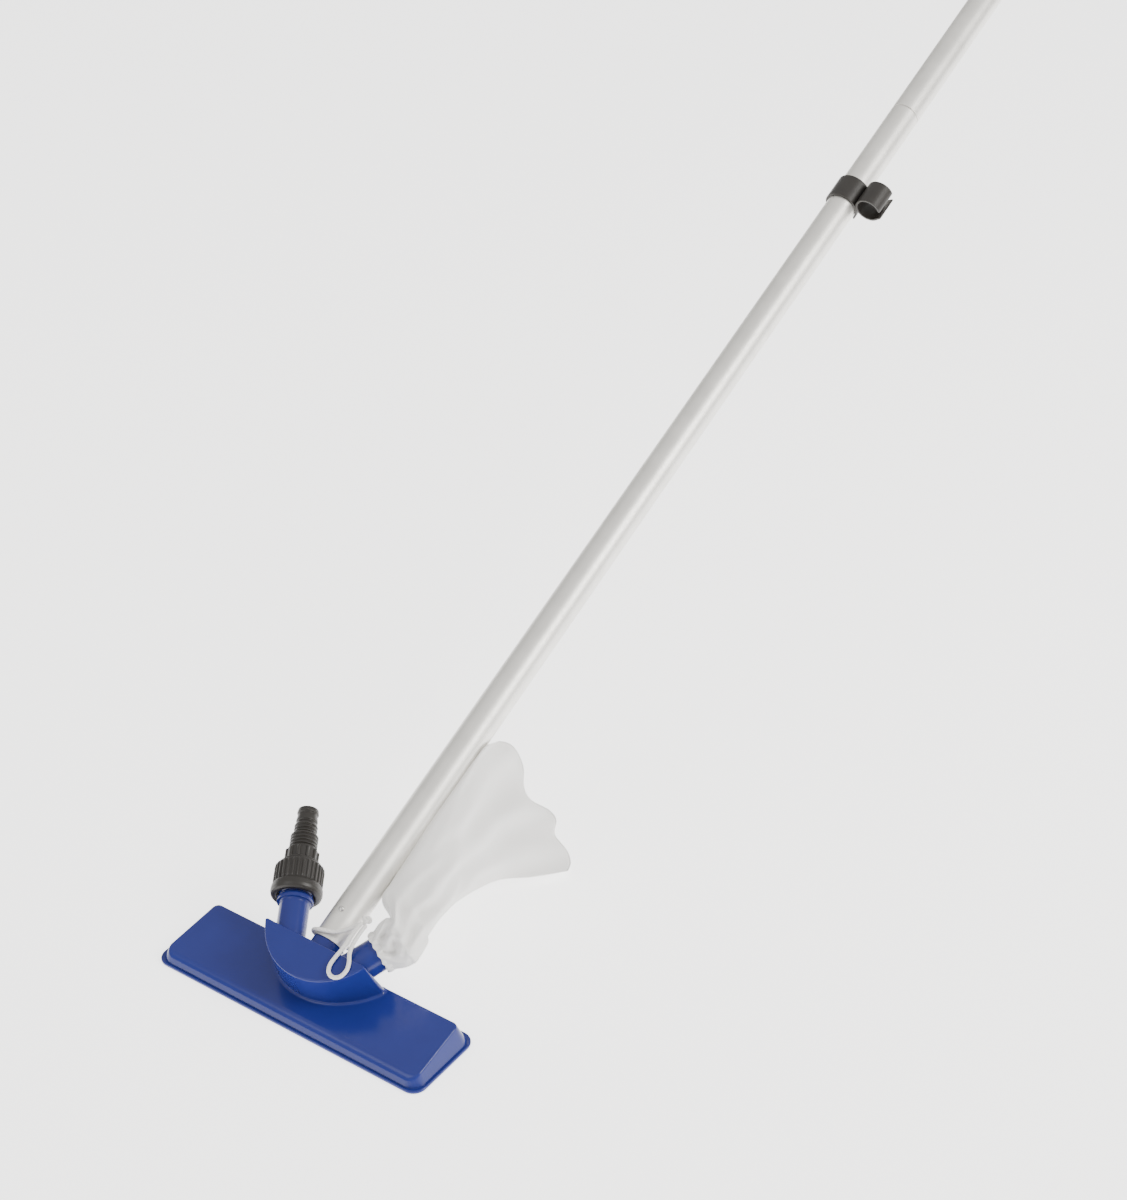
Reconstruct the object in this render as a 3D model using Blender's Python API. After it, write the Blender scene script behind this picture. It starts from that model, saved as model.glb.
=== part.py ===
"""Hose-driven pool vacuum: moulded head, union nut and hose tail, aluminium pole, hose clip and net bag.

Metres, +Z up. The origin is the centre of the head's sole, on the floor. +X runs along the head,
+Y points to the back, the way the pole leans. Every tube axis lies in one tilted plane that rises
backwards by POLE_TILT from the point (0, 0, AXIS_HEIGHT).
"""
import bpy
import bmesh
import math
from mathutils import Matrix, Vector

MM = 0.001
GAP = 0.3 * MM                  # running gap between any two pieces that touch
TAU = 2 * math.pi

# ---- head tray -------------------------------------------------------------
HEAD_LENGTH = 290 * MM
HEAD_DEPTH = 81 * MM
FLANGE_CORNER = 10 * MM
FLANGE_THICK = 3 * MM
FLANGE_WIDTH = 2.7 * MM
BODY_CORNER = 13 * MM
SIDE_DRAFT = 0.43               # the walls lean in this much for each unit of height
FRONT_HEIGHT = 12 * MM
BACK_HEIGHT = 21 * MM
SHELL_WALL = 2.5 * MM

# ---- tilted plane and the jet housing on the tray ----------------------------
POLE_TILT = math.radians(24)
AXIS_HEIGHT = 33 * MM           # height of the pole's axis over the sole at Y = 0
FACE_RISE = 20 * MM             # housing face above the plane of the tube axes
RIM_RADIUS = 61 * MM
RIM_CENTRE = 45.5 * MM          # along the pole, behind the face
FACE_BACK = 19 * MM             # straight back edge of the face, along the pole
RIM_DRAFT = math.radians(7)
BACK_DRAFT = math.radians(3.5)

# ---- water tubes -------------------------------------------------------------
TUBE_ANGLE = math.radians(29)   # each side of the pole
TUBE_MEET = -46.7 * MM          # where both tube axes cross the pole's axis, along the pole
INLET_RADIUS = 13.25 * MM
INLET_BORE = 9.5 * MM
COLLAR_RADIUS = 16 * MM
COLLAR_START = 106.3 * MM       # measured along the inlet from the crossing point
COLLAR_THICK = 4 * MM
THREAD_RADIUS = 14.8 * MM
THREAD_PITCH = 3 * MM
THREAD_TURNS = 5
OUTLET_RADIUS = 15 * MM
OUTLET_WALL = 2.5 * MM
OUTLET_LIFT = 2 * MM
OUTLET_END = 121 * MM
OUTLET_LIP = 1.2 * MM
NOZZLE_SEAT = 86 * MM
NOZZLE_HOLE = 2.5 * MM

# ---- union nut and hose tail -------------------------------------------------
NUT_RADIUS = 22.9 * MM
RIB_RADIUS = 21.8 * MM
RIB_DEPTH = 0.9 * MM
RIB_COUNT = 24
NUT_START = 111.8 * MM
NUT_SKIRT = 10.5 * MM
NUT_RIBS = 20 * MM
CROWN_RADIUS = 14.8 * MM
CROWN_LENGTH = 12.5 * MM
WASHER_THICK = 2.5 * MM
TAIL_FLANGE = 3 * MM
TAIL_BORE = 6.5 * MM
TAIL_NECK = 12.4 * MM
BARB_STEPS = ((12.6 * MM, 13.5 * MM, 4), (10.6 * MM, 10.5 * MM, 3), (9.8 * MM, 16 * MM, 2))

# ---- pole --------------------------------------------------------------------
POLE_RADIUS = 15 * MM
POLE_WALL = 1 * MM
POLE_START = 28 * MM            # lower end of the pole, along its axis from Y = 0
SECTION_LENGTH = 1051 * MM
POLE_LENGTH = 2030 * MM
NECK_LENGTH = 60 * MM
SPIGOT_LENGTH = 48 * MM         # what the pole slips over
SPIGOT_BORE = 10 * MM
BUTTON_RADIUS = 2.6 * MM
BUTTON_PROUD = 2.4 * MM
BUTTON_SETBACK = 28 * MM        # from the end of the tube to the button
CAP_WALL = 1.4 * MM
CAP_LENGTH = 24 * MM

# ---- hose clip ---------------------------------------------------------------
CLIP_CENTRE = 956 * MM
CLIP_LENGTH = 28 * MM
CLIP_WALL = 2.4 * MM
HOSE_RADIUS = 11.5 * MM
CLIP_BEARING = math.radians(8)
CLIP_MOUTH = (5, -30)           # upper and lower lip of the hose ring, in degrees from sideways

# ---- suction plate and its screws --------------------------------------------
PLATE_THICK = 2 * MM
SKID_HEIGHT = 4 * MM
SKID_WIDTH = 4 * MM
PLATE_HALF_LENGTH = 70 * MM
PLATE_FRONT = -24 * MM
PLATE_BACK = 26 * MM
MOUTH_LENGTH = 24 * MM
MOUTH_DEPTH = 20 * MM
SCREW_RADIUS = 1.45 * MM
SCREW_HEAD_RADIUS = 3 * MM
SCREW_PLACES = ((-62 * MM, -14 * MM), (62 * MM, -14 * MM), (-62 * MM, 17 * MM), (62 * MM, 17 * MM))

# ---- net bag and its drawstring ----------------------------------------------
HEM_START = 97.5 * MM           # along the outlet
HEM_LENGTH = 6 * MM
HEM_THICK = 4.6 * MM
BAG_NECK_WALL = 2.6 * MM
CORD_DIAMETER = 3.6 * MM

ROUND = 48                      # facets of a large round piece
SMALL_ROUND = 24


def clear_scene():
    """Remove every object, so that the script can run in any file."""
    for obj in list(bpy.data.objects):
        bpy.data.objects.remove(obj, do_unlink=True)


def material(name, colour, roughness, metallic=0.0):
    """A Principled material in one plain finish."""
    mat = bpy.data.materials.new(name)
    mat.use_nodes = True
    shader = mat.node_tree.nodes["Principled BSDF"]
    shader.inputs["Base Color"].default_value = (*colour, 1.0)
    shader.inputs["Roughness"].default_value = roughness
    shader.inputs["Metallic"].default_value = metallic
    return mat


def axis_frame(name, parent=None, location=(0, 0, 0), rotation=(0, 0, 0)):
    """An empty whose local Z runs along an axis of the object."""
    empty = bpy.data.objects.new(name, None)
    bpy.context.scene.collection.objects.link(empty)
    empty.parent = parent
    empty.location = location
    empty.rotation_euler = rotation
    return empty


def add_object(name, bm, mat=None, parent=None, smooth=True):
    """Turn a bmesh into an object, shaded smooth on its round sides."""
    bmesh.ops.remove_doubles(bm, verts=bm.verts, dist=1e-7)
    bmesh.ops.recalc_face_normals(bm, faces=bm.faces)
    mesh = bpy.data.meshes.new(name)
    bm.to_mesh(mesh)
    bm.free()
    if smooth:
        mesh.shade_smooth()
        mesh.set_sharp_from_angle(angle=math.radians(35))
    if mat is not None:
        mesh.materials.append(mat)
    obj = bpy.data.objects.new(name, mesh)
    bpy.context.scene.collection.objects.link(obj)
    obj.parent = parent
    return obj


def as_cutter(obj):
    """Mark an object that only shapes another one."""
    obj.hide_render = True
    obj.display_type = 'WIRE'
    return obj


def combine(obj, other, operation):
    """Join or cut obj with another object."""
    mod = obj.modifiers.new(operation.title() + " " + other.name, 'BOOLEAN')
    mod.operation = operation
    mod.object = as_cutter(other)
    mod.solver = 'EXACT'


def turned(name, profile, mat=None, parent=None, steps=ROUND):
    """Spin a closed outline of (radius, height) points round the local Z axis."""
    bm = bmesh.new()
    verts = [bm.verts.new((radius, 0, height)) for radius, height in profile]
    on_axis = profile[0][0] == 0 and profile[-1][0] == 0
    pairs = list(zip(verts, verts[1:]))
    if not on_axis:
        pairs.append((verts[-1], verts[0]))
    edges = [bm.edges.new(pair) for pair in pairs]
    bmesh.ops.spin(bm, geom=verts + edges, axis=(0, 0, 1), cent=(0, 0, 0), angle=TAU, steps=steps)
    return add_object(name, bm, mat, parent)


def loft(bm, rings):
    """Skin a list of equal rings of points and close both ends."""
    rows = [[bm.verts.new(point) for point in ring] for ring in rings]
    count = len(rows[0])
    for lower, upper in zip(rows, rows[1:]):
        for i in range(count):
            j = (i + 1) % count
            bm.faces.new((lower[i], lower[j], upper[j], upper[i]))
    bm.faces.new(list(reversed(rows[0])))
    bm.faces.new(rows[-1])


def rounded_rectangle(half_x, half_y, radius, steps=6):
    """Outline points of a rounded rectangle, each with its outward normal."""
    points = []
    for sign_x, sign_y, start in ((1, 1, 0), (-1, 1, 90), (-1, -1, 180), (1, -1, 270)):
        centre = Vector((sign_x * (half_x - radius), sign_y * (half_y - radius)))
        for i in range(steps + 1):
            angle = math.radians(start + 90 * i / steps)
            normal = Vector((math.cos(angle), math.sin(angle)))
            points.append((centre + radius * normal, normal))
    return points


def top_plane():
    """Height at Y = 0 and slope along Y of the tray's top plane."""
    front = -HEAD_DEPTH / 2 + FLANGE_WIDTH + SIDE_DRAFT * (FRONT_HEIGHT - FLANGE_THICK)
    back = HEAD_DEPTH / 2 - FLANGE_WIDTH - SIDE_DRAFT * (BACK_HEIGHT - FLANGE_THICK)
    slope = (BACK_HEIGHT - FRONT_HEIGHT) / (back - front)
    return FRONT_HEIGHT - slope * front, slope


def wall_ring(inset, drop):
    """Ring where the tray's leaning wall, moved in by inset, meets the top plane lowered by drop."""
    level, slope = top_plane()
    ring = []
    outline = rounded_rectangle(HEAD_LENGTH / 2 - FLANGE_WIDTH - inset,
                                HEAD_DEPTH / 2 - FLANGE_WIDTH - inset, BODY_CORNER - inset)
    for point, normal in outline:
        lean = SIDE_DRAFT * normal.y * slope
        z = (level - drop + slope * point.y + lean * FLANGE_THICK) / (1 + lean)
        place = point - normal * SIDE_DRAFT * (z - FLANGE_THICK)
        ring.append((place.x, place.y, z))
    return ring


def flat_ring(inset, z, corner, half_x=HEAD_LENGTH / 2, half_y=HEAD_DEPTH / 2):
    """A level ring of the tray's outline."""
    outline = rounded_rectangle(half_x - inset, half_y - inset, corner)
    return [(point.x, point.y, z) for point, _ in outline]


def tray_solid():
    """Flange and wedge-shaped body of the tray, still solid."""
    bm = bmesh.new()
    loft(bm, [flat_ring(0, 0, FLANGE_CORNER), flat_ring(0, FLANGE_THICK, FLANGE_CORNER),
              flat_ring(FLANGE_WIDTH, FLANGE_THICK, BODY_CORNER), wall_ring(0, 0)])
    return bm


def tray_cavity():
    """The hollow under the tray, open at the sole."""
    bm = bmesh.new()
    lower = flat_ring(FLANGE_WIDTH + SHELL_WALL, -FLANGE_THICK, BODY_CORNER - SHELL_WALL)
    middle = [(x, y, FLANGE_THICK) for x, y, _ in lower]
    loft(bm, [lower, middle, wall_ring(SHELL_WALL, SHELL_WALL)])
    return add_object("tray_cavity", bm, smooth=False)


def segment_ring(radius, back, rise, steps=36):
    """Circular segment with a straight back edge, at one rise over the plane of the axes."""
    half = math.acos((RIM_CENTRE - back) / radius)
    ring = []
    for i in range(steps + 1):
        angle = -half + 2 * half * i / steps
        ring.append((radius * math.sin(angle), -rise, RIM_CENTRE - radius * math.cos(angle)))
    return ring


def housing_block(name, parent, wall, drop):
    """Flared plug under the face, wall thinner all round, ended drop below the tray's top plane."""
    depth = 75 * MM
    bm = bmesh.new()
    top = FACE_RISE - wall
    foot = top - depth
    loft(bm, [segment_ring(RIM_RADIUS - wall, FACE_BACK - wall, top),
              segment_ring(RIM_RADIUS - wall + depth * math.tan(RIM_DRAFT),
                           FACE_BACK - wall + depth * math.tan(BACK_DRAFT), foot)])
    level, slope = top_plane()
    to_local = Matrix.Rotation(math.pi / 2 - POLE_TILT, 4, 'X') @ Matrix.Translation((0, 0, -AXIS_HEIGHT))
    place = to_local @ Vector((0, 0, level - drop))
    normal = to_local.to_3x3() @ Vector((0, -slope, 1)).normalized()
    cut = bmesh.ops.bisect_plane(bm, geom=bm.verts[:] + bm.edges[:] + bm.faces[:], plane_co=place,
                                 plane_no=normal, clear_inner=True)
    edges = [item for item in cut["geom_cut"] if isinstance(item, bmesh.types.BMEdge)]
    bmesh.ops.contextual_create(bm, geom=edges)
    return add_object(name, bm, parent=parent, smooth=False)


def thread_profile(start, count):
    """Crest and root points of a thread, drawn as rings."""
    root = THREAD_RADIUS - 1.2 * MM
    points = []
    for i in range(count):
        foot = start + i * THREAD_PITCH
        points += [(root, foot), (THREAD_RADIUS, foot + 1.1 * MM), (THREAD_RADIUS, foot + 1.6 * MM),
                   (root, foot + 2.7 * MM)]
    return points


def inlet_end():
    """Distance along the inlet of its sealing rim."""
    return COLLAR_START + COLLAR_THICK + THREAD_TURNS * THREAD_PITCH + 1 * MM


def spigot_end():
    """Distance along the pole of the spigot's free end."""
    return POLE_START + SPIGOT_LENGTH


def head_shell(mat, pole_axis, inlet_axis, outlet_axis):
    """One blue moulding: tray, jet housing, inlet with thread, outlet and pole spigot."""
    shell = add_object("head_shell", tray_solid(), mat)
    inside = 55 * MM            # tube blanks start inside the housing, where the chamber trims them
    combine(shell, housing_block("housing_outside", pole_axis, 0, SHELL_WALL / 2), 'UNION')
    collar_end = COLLAR_START + COLLAR_THICK
    combine(shell, turned("inlet_outside", [(0, inside), (INLET_RADIUS, inside), (INLET_RADIUS, COLLAR_START),
            (COLLAR_RADIUS, COLLAR_START), (COLLAR_RADIUS, collar_end)]
            + thread_profile(collar_end + 0.5 * MM, THREAD_TURNS)
            + [(THREAD_RADIUS - 1.2 * MM, inlet_end()), (0, inlet_end())], parent=inlet_axis), 'UNION')
    lip = OUTLET_RADIUS + OUTLET_LIP
    combine(shell, turned("outlet_outside", [(0, inside), (OUTLET_RADIUS, inside),
            (OUTLET_RADIUS, OUTLET_END - 3 * MM), (lip, OUTLET_END - 2 * MM), (lip, OUTLET_END),
            (0, OUTLET_END)], parent=outlet_axis), 'UNION')
    shoulder = POLE_START - GAP
    slip = POLE_RADIUS - POLE_WALL - GAP
    spigot = turned("spigot_outside", [(0, 8 * MM), (slip + 0.8 * MM, 8 * MM), (slip + 0.8 * MM, shoulder),
                    (slip, shoulder), (slip, spigot_end() - 2 * MM), (slip - 1 * MM, spigot_end()),
                    (0, spigot_end())], parent=pole_axis)
    combine(spigot, button_hole("spigot_button_hole", pole_axis, POLE_START + BUTTON_SETBACK, 1), 'DIFFERENCE')
    combine(shell, spigot, 'UNION')
    combine(shell, tray_cavity(), 'DIFFERENCE')
    combine(shell, housing_block("housing_inside", pole_axis, SHELL_WALL, SHELL_WALL * 2), 'DIFFERENCE')
    for i, (x, y) in enumerate(SCREW_PLACES):
        combine(shell, boss("boss_%d" % (i + 1), x, y), 'UNION')
    combine(shell, turned("inlet_hollow", [(0, inside - 5 * MM), (INLET_BORE - 2.2 * MM, inside - 5 * MM),
            (INLET_BORE - 2.2 * MM, NOZZLE_SEAT), (INLET_BORE, NOZZLE_SEAT),
            (INLET_BORE, inlet_end() + 5 * MM), (0, inlet_end() + 5 * MM)], parent=inlet_axis), 'DIFFERENCE')
    bore = OUTLET_RADIUS - OUTLET_WALL
    combine(shell, turned("outlet_hollow", [(0, inside - 5 * MM), (bore, inside - 5 * MM),
            (bore, OUTLET_END + 5 * MM), (0, OUTLET_END + 5 * MM)], parent=outlet_axis), 'DIFFERENCE')
    combine(shell, turned("spigot_hollow", [(0, 24 * MM), (SPIGOT_BORE, 24 * MM),
            (SPIGOT_BORE, spigot_end() + 5 * MM), (0, spigot_end() + 5 * MM)], parent=pole_axis), 'DIFFERENCE')
    return shell


def boss(name, x, y):
    """Screw boss that hangs from the tray's top, with a pilot hole in its end."""
    level, slope = top_plane()
    foot = SKID_HEIGHT + PLATE_THICK + GAP
    top = level + slope * y - SHELL_WALL / 2
    pilot = SCREW_RADIUS + 0.15 * MM
    depth = top - SHELL_WALL * 0.7
    obj = turned(name, [(0, top), (3.6 * MM, top), (3.6 * MM, foot), (pilot, foot), (pilot, depth), (0, depth)],
                 steps=SMALL_ROUND)
    obj.location = (x, y, 0)
    return obj


def button_hole(name, pole_axis, along, side):
    """Round cutter through one side of a tube, across its axis."""
    hole = turned(name, [(0, 8 * MM), (BUTTON_RADIUS + GAP, 8 * MM), (BUTTON_RADIUS + GAP, 20 * MM), (0, 20 * MM)],
                  parent=pole_axis, steps=SMALL_ROUND)
    hole.location = (0, 0, along)
    hole.rotation_euler = (side * math.pi / 2, math.radians(5), 0)
    return hole


def suction_plate(mat):
    """Pan under the housing: a floor with two mouths, a rim up to the tray's top, and three skids."""
    level, slope = top_plane()
    middle = (PLATE_FRONT + PLATE_BACK) / 2
    half_y = (PLATE_BACK - PLATE_FRONT) / 2
    floor_z = SKID_HEIGHT
    bm = bmesh.new()
    outline = rounded_rectangle(PLATE_HALF_LENGTH, half_y, 8 * MM, 4)
    lower = [(p.x, p.y + middle, floor_z) for p, _ in outline]
    upper = [(p.x, p.y + middle, level + slope * (p.y + middle) - SHELL_WALL - GAP) for p, _ in outline]
    loft(bm, [lower, upper])
    plate = add_object("suction_plate", bm, mat)
    bm = bmesh.new()
    outline = rounded_rectangle(PLATE_HALF_LENGTH - PLATE_THICK, half_y - PLATE_THICK, 6 * MM, 4)
    loft(bm, [[(p.x, p.y + middle, floor_z + PLATE_THICK) for p, _ in outline],
              [(p.x, p.y + middle, BACK_HEIGHT + 5 * MM) for p, _ in outline]])
    combine(plate, add_object("plate_inside", bm, smooth=False), 'DIFFERENCE')
    skid_half = (PLATE_BACK - PLATE_FRONT) / 2 - 3 * MM
    for i, x in enumerate((-45 * MM, 0, 45 * MM)):
        bm = bmesh.new()
        outline = rounded_rectangle(SKID_WIDTH / 2, skid_half, 1.5 * MM, 2)
        loft(bm, [[(p.x + x, p.y + middle, 0) for p, _ in outline],
                  [(p.x + x, p.y + middle, floor_z + PLATE_THICK / 2) for p, _ in outline]])
        combine(plate, add_object("skid_%d" % (i + 1), bm, smooth=False), 'UNION')
    for i, side in enumerate((-1, 1)):
        bm = bmesh.new()
        outline = rounded_rectangle(MOUTH_LENGTH / 2, MOUTH_DEPTH / 2, 3 * MM, 3)
        x = side * (SKID_WIDTH + MOUTH_LENGTH / 2)
        loft(bm, [[(p.x + x, p.y, 1 * MM) for p, _ in outline],
                  [(p.x + x, p.y, floor_z + PLATE_THICK + 1 * MM) for p, _ in outline]])
        combine(plate, add_object("mouth_%d" % (i + 1), bm, smooth=False), 'DIFFERENCE')
    for i, (x, y) in enumerate(SCREW_PLACES):
        radius = SCREW_RADIUS + GAP
        hole = turned("plate_hole_%d" % (i + 1), [(0, 1 * MM), (radius, 1 * MM), (radius, 8 * MM), (0, 8 * MM)],
                      steps=SMALL_ROUND)
        hole.location = (x, y, 0)
        combine(plate, hole, 'DIFFERENCE')
    return plate


def plate_screws(mat):
    """Four pan-head screws, heads under the plate, tips in the tray's bosses."""
    level, slope = top_plane()
    for i, (x, y) in enumerate(SCREW_PLACES):
        seat = SKID_HEIGHT - GAP
        tip = level + slope * y - SHELL_WALL * 1.2 - 1.5 * MM
        head = 1.8 * MM
        screw = turned("plate_screw_%d" % (i + 1), [
            (0, seat - head), (SCREW_HEAD_RADIUS - 0.8 * MM, seat - head), (SCREW_HEAD_RADIUS, seat - head * 0.6),
            (SCREW_HEAD_RADIUS, seat), (SCREW_RADIUS, seat), (SCREW_RADIUS, tip - 1 * MM), (0, tip)], mat, steps=12)
        screw.location = (x, y, 0)


def jet_nozzle(mat, inlet_axis):
    """Insert that drops down the inlet onto a ledge and narrows to the jet."""
    flange = INLET_BORE - GAP
    body = INLET_BORE - 2.2 * MM - GAP
    seat = NOZZLE_SEAT + GAP
    tip = NOZZLE_SEAT - 18 * MM
    turned("jet_nozzle", [(NOZZLE_HOLE, tip), (NOZZLE_HOLE + 1.4 * MM, tip), (body, tip + 9 * MM), (body, seat),
                          (flange, seat), (flange, seat + 2.5 * MM), (body - 1 * MM, seat + 2.5 * MM),
                          (NOZZLE_HOLE, tip + 6 * MM)], mat, inlet_axis, SMALL_ROUND)


def flat_washer(mat, inlet_axis):
    """Rubber washer on the inlet's rim."""
    start = inlet_end() + GAP
    outer = THREAD_RADIUS - 1.0 * MM
    turned("flat_washer", [(INLET_BORE, start), (outer, start), (outer, start + WASHER_THICK),
                           (INLET_BORE, start + WASHER_THICK)], mat, inlet_axis)


def tail_start():
    """Distance along the inlet of the hose tail's flange."""
    return inlet_end() + WASHER_THICK + 2 * GAP


def nut_lip():
    """Distance along the inlet of the nut's inner shoulder, over the tail's flange."""
    return tail_start() + TAIL_FLANGE + GAP


def hose_tail(mat, inlet_axis):
    """Stepped hose tail: flange held by the nut, plain neck and three barbed steps."""
    start = tail_start()
    crown_end = NUT_START + NUT_SKIRT + NUT_RIBS + 4 * MM + CROWN_LENGTH
    outer = [(THREAD_RADIUS - 0.6 * MM, start), (THREAD_RADIUS - 0.6 * MM, start + TAIL_FLANGE),
             (TAIL_NECK, start + TAIL_FLANGE), (TAIL_NECK, crown_end + 1 * MM)]
    along = crown_end + 1 * MM
    for crest, length, ridges in BARB_STEPS:
        pitch = length / ridges
        for i in range(ridges):
            foot = along + i * pitch
            outer += [(crest - 1.3 * MM, foot + 0.3 * pitch), (crest, foot + 0.45 * pitch), (crest - 0.7 * MM, foot + pitch)]
        along += length
    turned("hose_tail", [(INLET_BORE, start)] + outer + [(TAIL_BORE, along), (TAIL_BORE, start + 20 * MM)],
           mat, inlet_axis, 32)


def union_nut(mat, inlet_axis):
    """Nut with a smooth skirt, fine ribs, a shoulder and a notched crown, all one piece."""
    segments = RIB_COUNT * 2
    ribs_start = NUT_START + NUT_SKIRT
    ribs_end = ribs_start + NUT_RIBS
    crown_start = ribs_end + 4 * MM
    crown_end = crown_start + CROWN_LENGTH
    bore = THREAD_RADIUS + GAP
    lip_bore = BARB_STEPS[0][0] + GAP

    def ring(radius, z, cut=0.0, every=2, low=1):
        return [((radius - (cut if i % every < low else 0)) * math.cos(TAU * i / segments),
                 (radius - (cut if i % every < low else 0)) * math.sin(TAU * i / segments), z)
                for i in range(segments)]

    rings = [ring(bore + 2.6 * MM, NUT_START), ring(NUT_RADIUS - 3 * MM, NUT_START),
             ring(NUT_RADIUS - 0.6 * MM, NUT_START + 2 * MM), ring(NUT_RADIUS, NUT_START + 5 * MM),
             ring(NUT_RADIUS - 0.4 * MM, ribs_start - 1 * MM), ring(RIB_RADIUS, ribs_start, RIB_DEPTH),
             ring(RIB_RADIUS, ribs_end - 1.5 * MM, RIB_DEPTH), ring(RIB_RADIUS - 1.5 * MM, ribs_end, RIB_DEPTH),
             ring(CROWN_RADIUS + 2.5 * MM, ribs_end + 2.5 * MM), ring(CROWN_RADIUS + 2.5 * MM, crown_start),
             ring(CROWN_RADIUS, crown_start + 0.5 * MM, 1.2 * MM, 6, 2), ring(CROWN_RADIUS, crown_end, 1.2 * MM, 6, 2),
             ring(lip_bore, crown_end), ring(lip_bore, nut_lip()), ring(bore, nut_lip()),
             ring(bore, NUT_START + 3 * MM)]
    bm = bmesh.new()
    rows = [[bm.verts.new(point) for point in points] for points in rings]
    for lower, upper in zip(rows, rows[1:] + rows[:1]):
        for i in range(segments):
            j = (i + 1) % segments
            bm.faces.new((lower[i], lower[j], upper[j], upper[i]))
    add_object("union_nut", bm, mat, inlet_axis)


def section_joint():
    """Where the lower tube's shoulder meets the upper tube, along the pole."""
    return POLE_START + SECTION_LENGTH


def pole_tubes(mat, pole_axis):
    """Two tube sections; the lower one ends in a swaged neck inside the upper one."""
    outer = POLE_RADIUS
    inner = POLE_RADIUS - POLE_WALL
    neck = inner - GAP
    joint = section_joint()
    lower = turned("pole_lower", [
        (outer, POLE_START), (outer, joint - 0.8 * MM), (neck, joint), (neck, joint + NECK_LENGTH),
        (neck - POLE_WALL, joint + NECK_LENGTH), (neck - POLE_WALL, joint - 2 * MM), (inner, joint - 5 * MM),
        (inner, POLE_START)], mat, pole_axis)
    combine(lower, button_hole("lower_end_hole", pole_axis, POLE_START + BUTTON_SETBACK, 1), 'DIFFERENCE')
    combine(lower, button_hole("neck_hole", pole_axis, joint + BUTTON_SETBACK, -1), 'DIFFERENCE')
    end = POLE_START + POLE_LENGTH
    upper = turned("pole_upper", [(outer, joint + 2 * GAP), (outer, end), (inner, end), (inner, joint + 2 * GAP)],
                   mat, pole_axis)
    combine(upper, button_hole("upper_hole", pole_axis, joint + BUTTON_SETBACK, -1), 'DIFFERENCE')


def snap_lock(prefix, along, side, bore, button_mat, spring_mat, pole_axis):
    """Button through both tube walls, pushed out by a folded leaf spring inside the bore."""
    foot_radius = BUTTON_RADIUS + 1.4 * MM
    foot_top = math.sqrt(bore ** 2 - foot_radius ** 2) - 0.4 * MM
    top = POLE_RADIUS + BUTTON_PROUD
    foot = foot_top - 1 * MM
    button = turned(prefix + "_button", [
        (0, foot), (foot_radius, foot), (foot_radius, foot_top), (BUTTON_RADIUS, foot_top),
        (BUTTON_RADIUS, top - 1 * MM), (BUTTON_RADIUS * 0.6, top - 0.3 * MM), (0, top)],
        button_mat, pole_axis, SMALL_ROUND)
    button.location = (0, 0, along)
    button.rotation_euler = (side * math.pi / 2, 0, 0)
    thick = 0.7 * MM
    high = foot - GAP - thick / 2
    fold = along - 26 * MM
    leaf(prefix + "_spring", [(along + 8 * MM, high), (along - 6 * MM, high), (fold + 1.2 * MM, 1 * MM),
                              (fold, 0), (fold + 1.2 * MM, -1 * MM), (along - 6 * MM, -high), (along + 8 * MM, -high)],
         thick, 7 * MM, side, spring_mat, pole_axis)


def leaf(name, path, thick, width, side, mat, pole_axis):
    """A strip bent along a path of (along, rise) points."""
    points = [Vector(point) for point in path]
    left = []
    right = []
    for i, point in enumerate(points):
        ahead = points[min(i + 1, len(points) - 1)] - points[max(i - 1, 0)]
        normal = Vector((-ahead.y, ahead.x)).normalized() * thick / 2
        left.append(point + normal)
        right.append(point - normal)
    outline = left + list(reversed(right))
    bm = bmesh.new()
    loft(bm, [[(x, -side * p.y, p.x) for p in outline] for x in (-width / 2, width / 2)])
    add_object(name, bm, mat, pole_axis, smooth=False)


def end_cap(mat, pole_axis):
    """Push-on cap over the pole's upper end."""
    end = POLE_START + POLE_LENGTH
    inner = POLE_RADIUS + GAP
    outer = inner + CAP_WALL
    turned("pole_end_cap", [(0, end + 4 * MM), (outer * 0.75, end + 4 * MM), (outer, end + 2 * MM),
                            (outer, end - CAP_LENGTH), (inner, end - CAP_LENGTH), (inner, end + GAP),
                            (0, end + GAP)], mat, pole_axis)


def c_ring(name, centre, inner, start, stop, flares, parent, steps=30):
    """Open ring from angle start to stop in degrees, with an outward lip of its own size on each end."""
    outer = inner + CLIP_WALL
    angles = [math.radians(start + (stop - start) * i / steps) for i in range(steps + 1)]
    outline = [(outer, a) for a in angles]
    outline[0] = (outer + flares[0], angles[0])
    outline[-1] = (outer + flares[1], angles[-1])
    outline += [(inner, a) for a in reversed(angles)]
    bm = bmesh.new()
    rings = []
    for z in (-CLIP_LENGTH / 2, CLIP_LENGTH / 2):
        rings.append([(centre[0] + r * math.cos(a), -(centre[1] + r * math.sin(a)), z) for r, a in outline])
    loft(bm, rings)
    obj = add_object(name, bm, parent=parent)
    obj.location = (0, 0, CLIP_CENTRE)
    return obj


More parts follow.
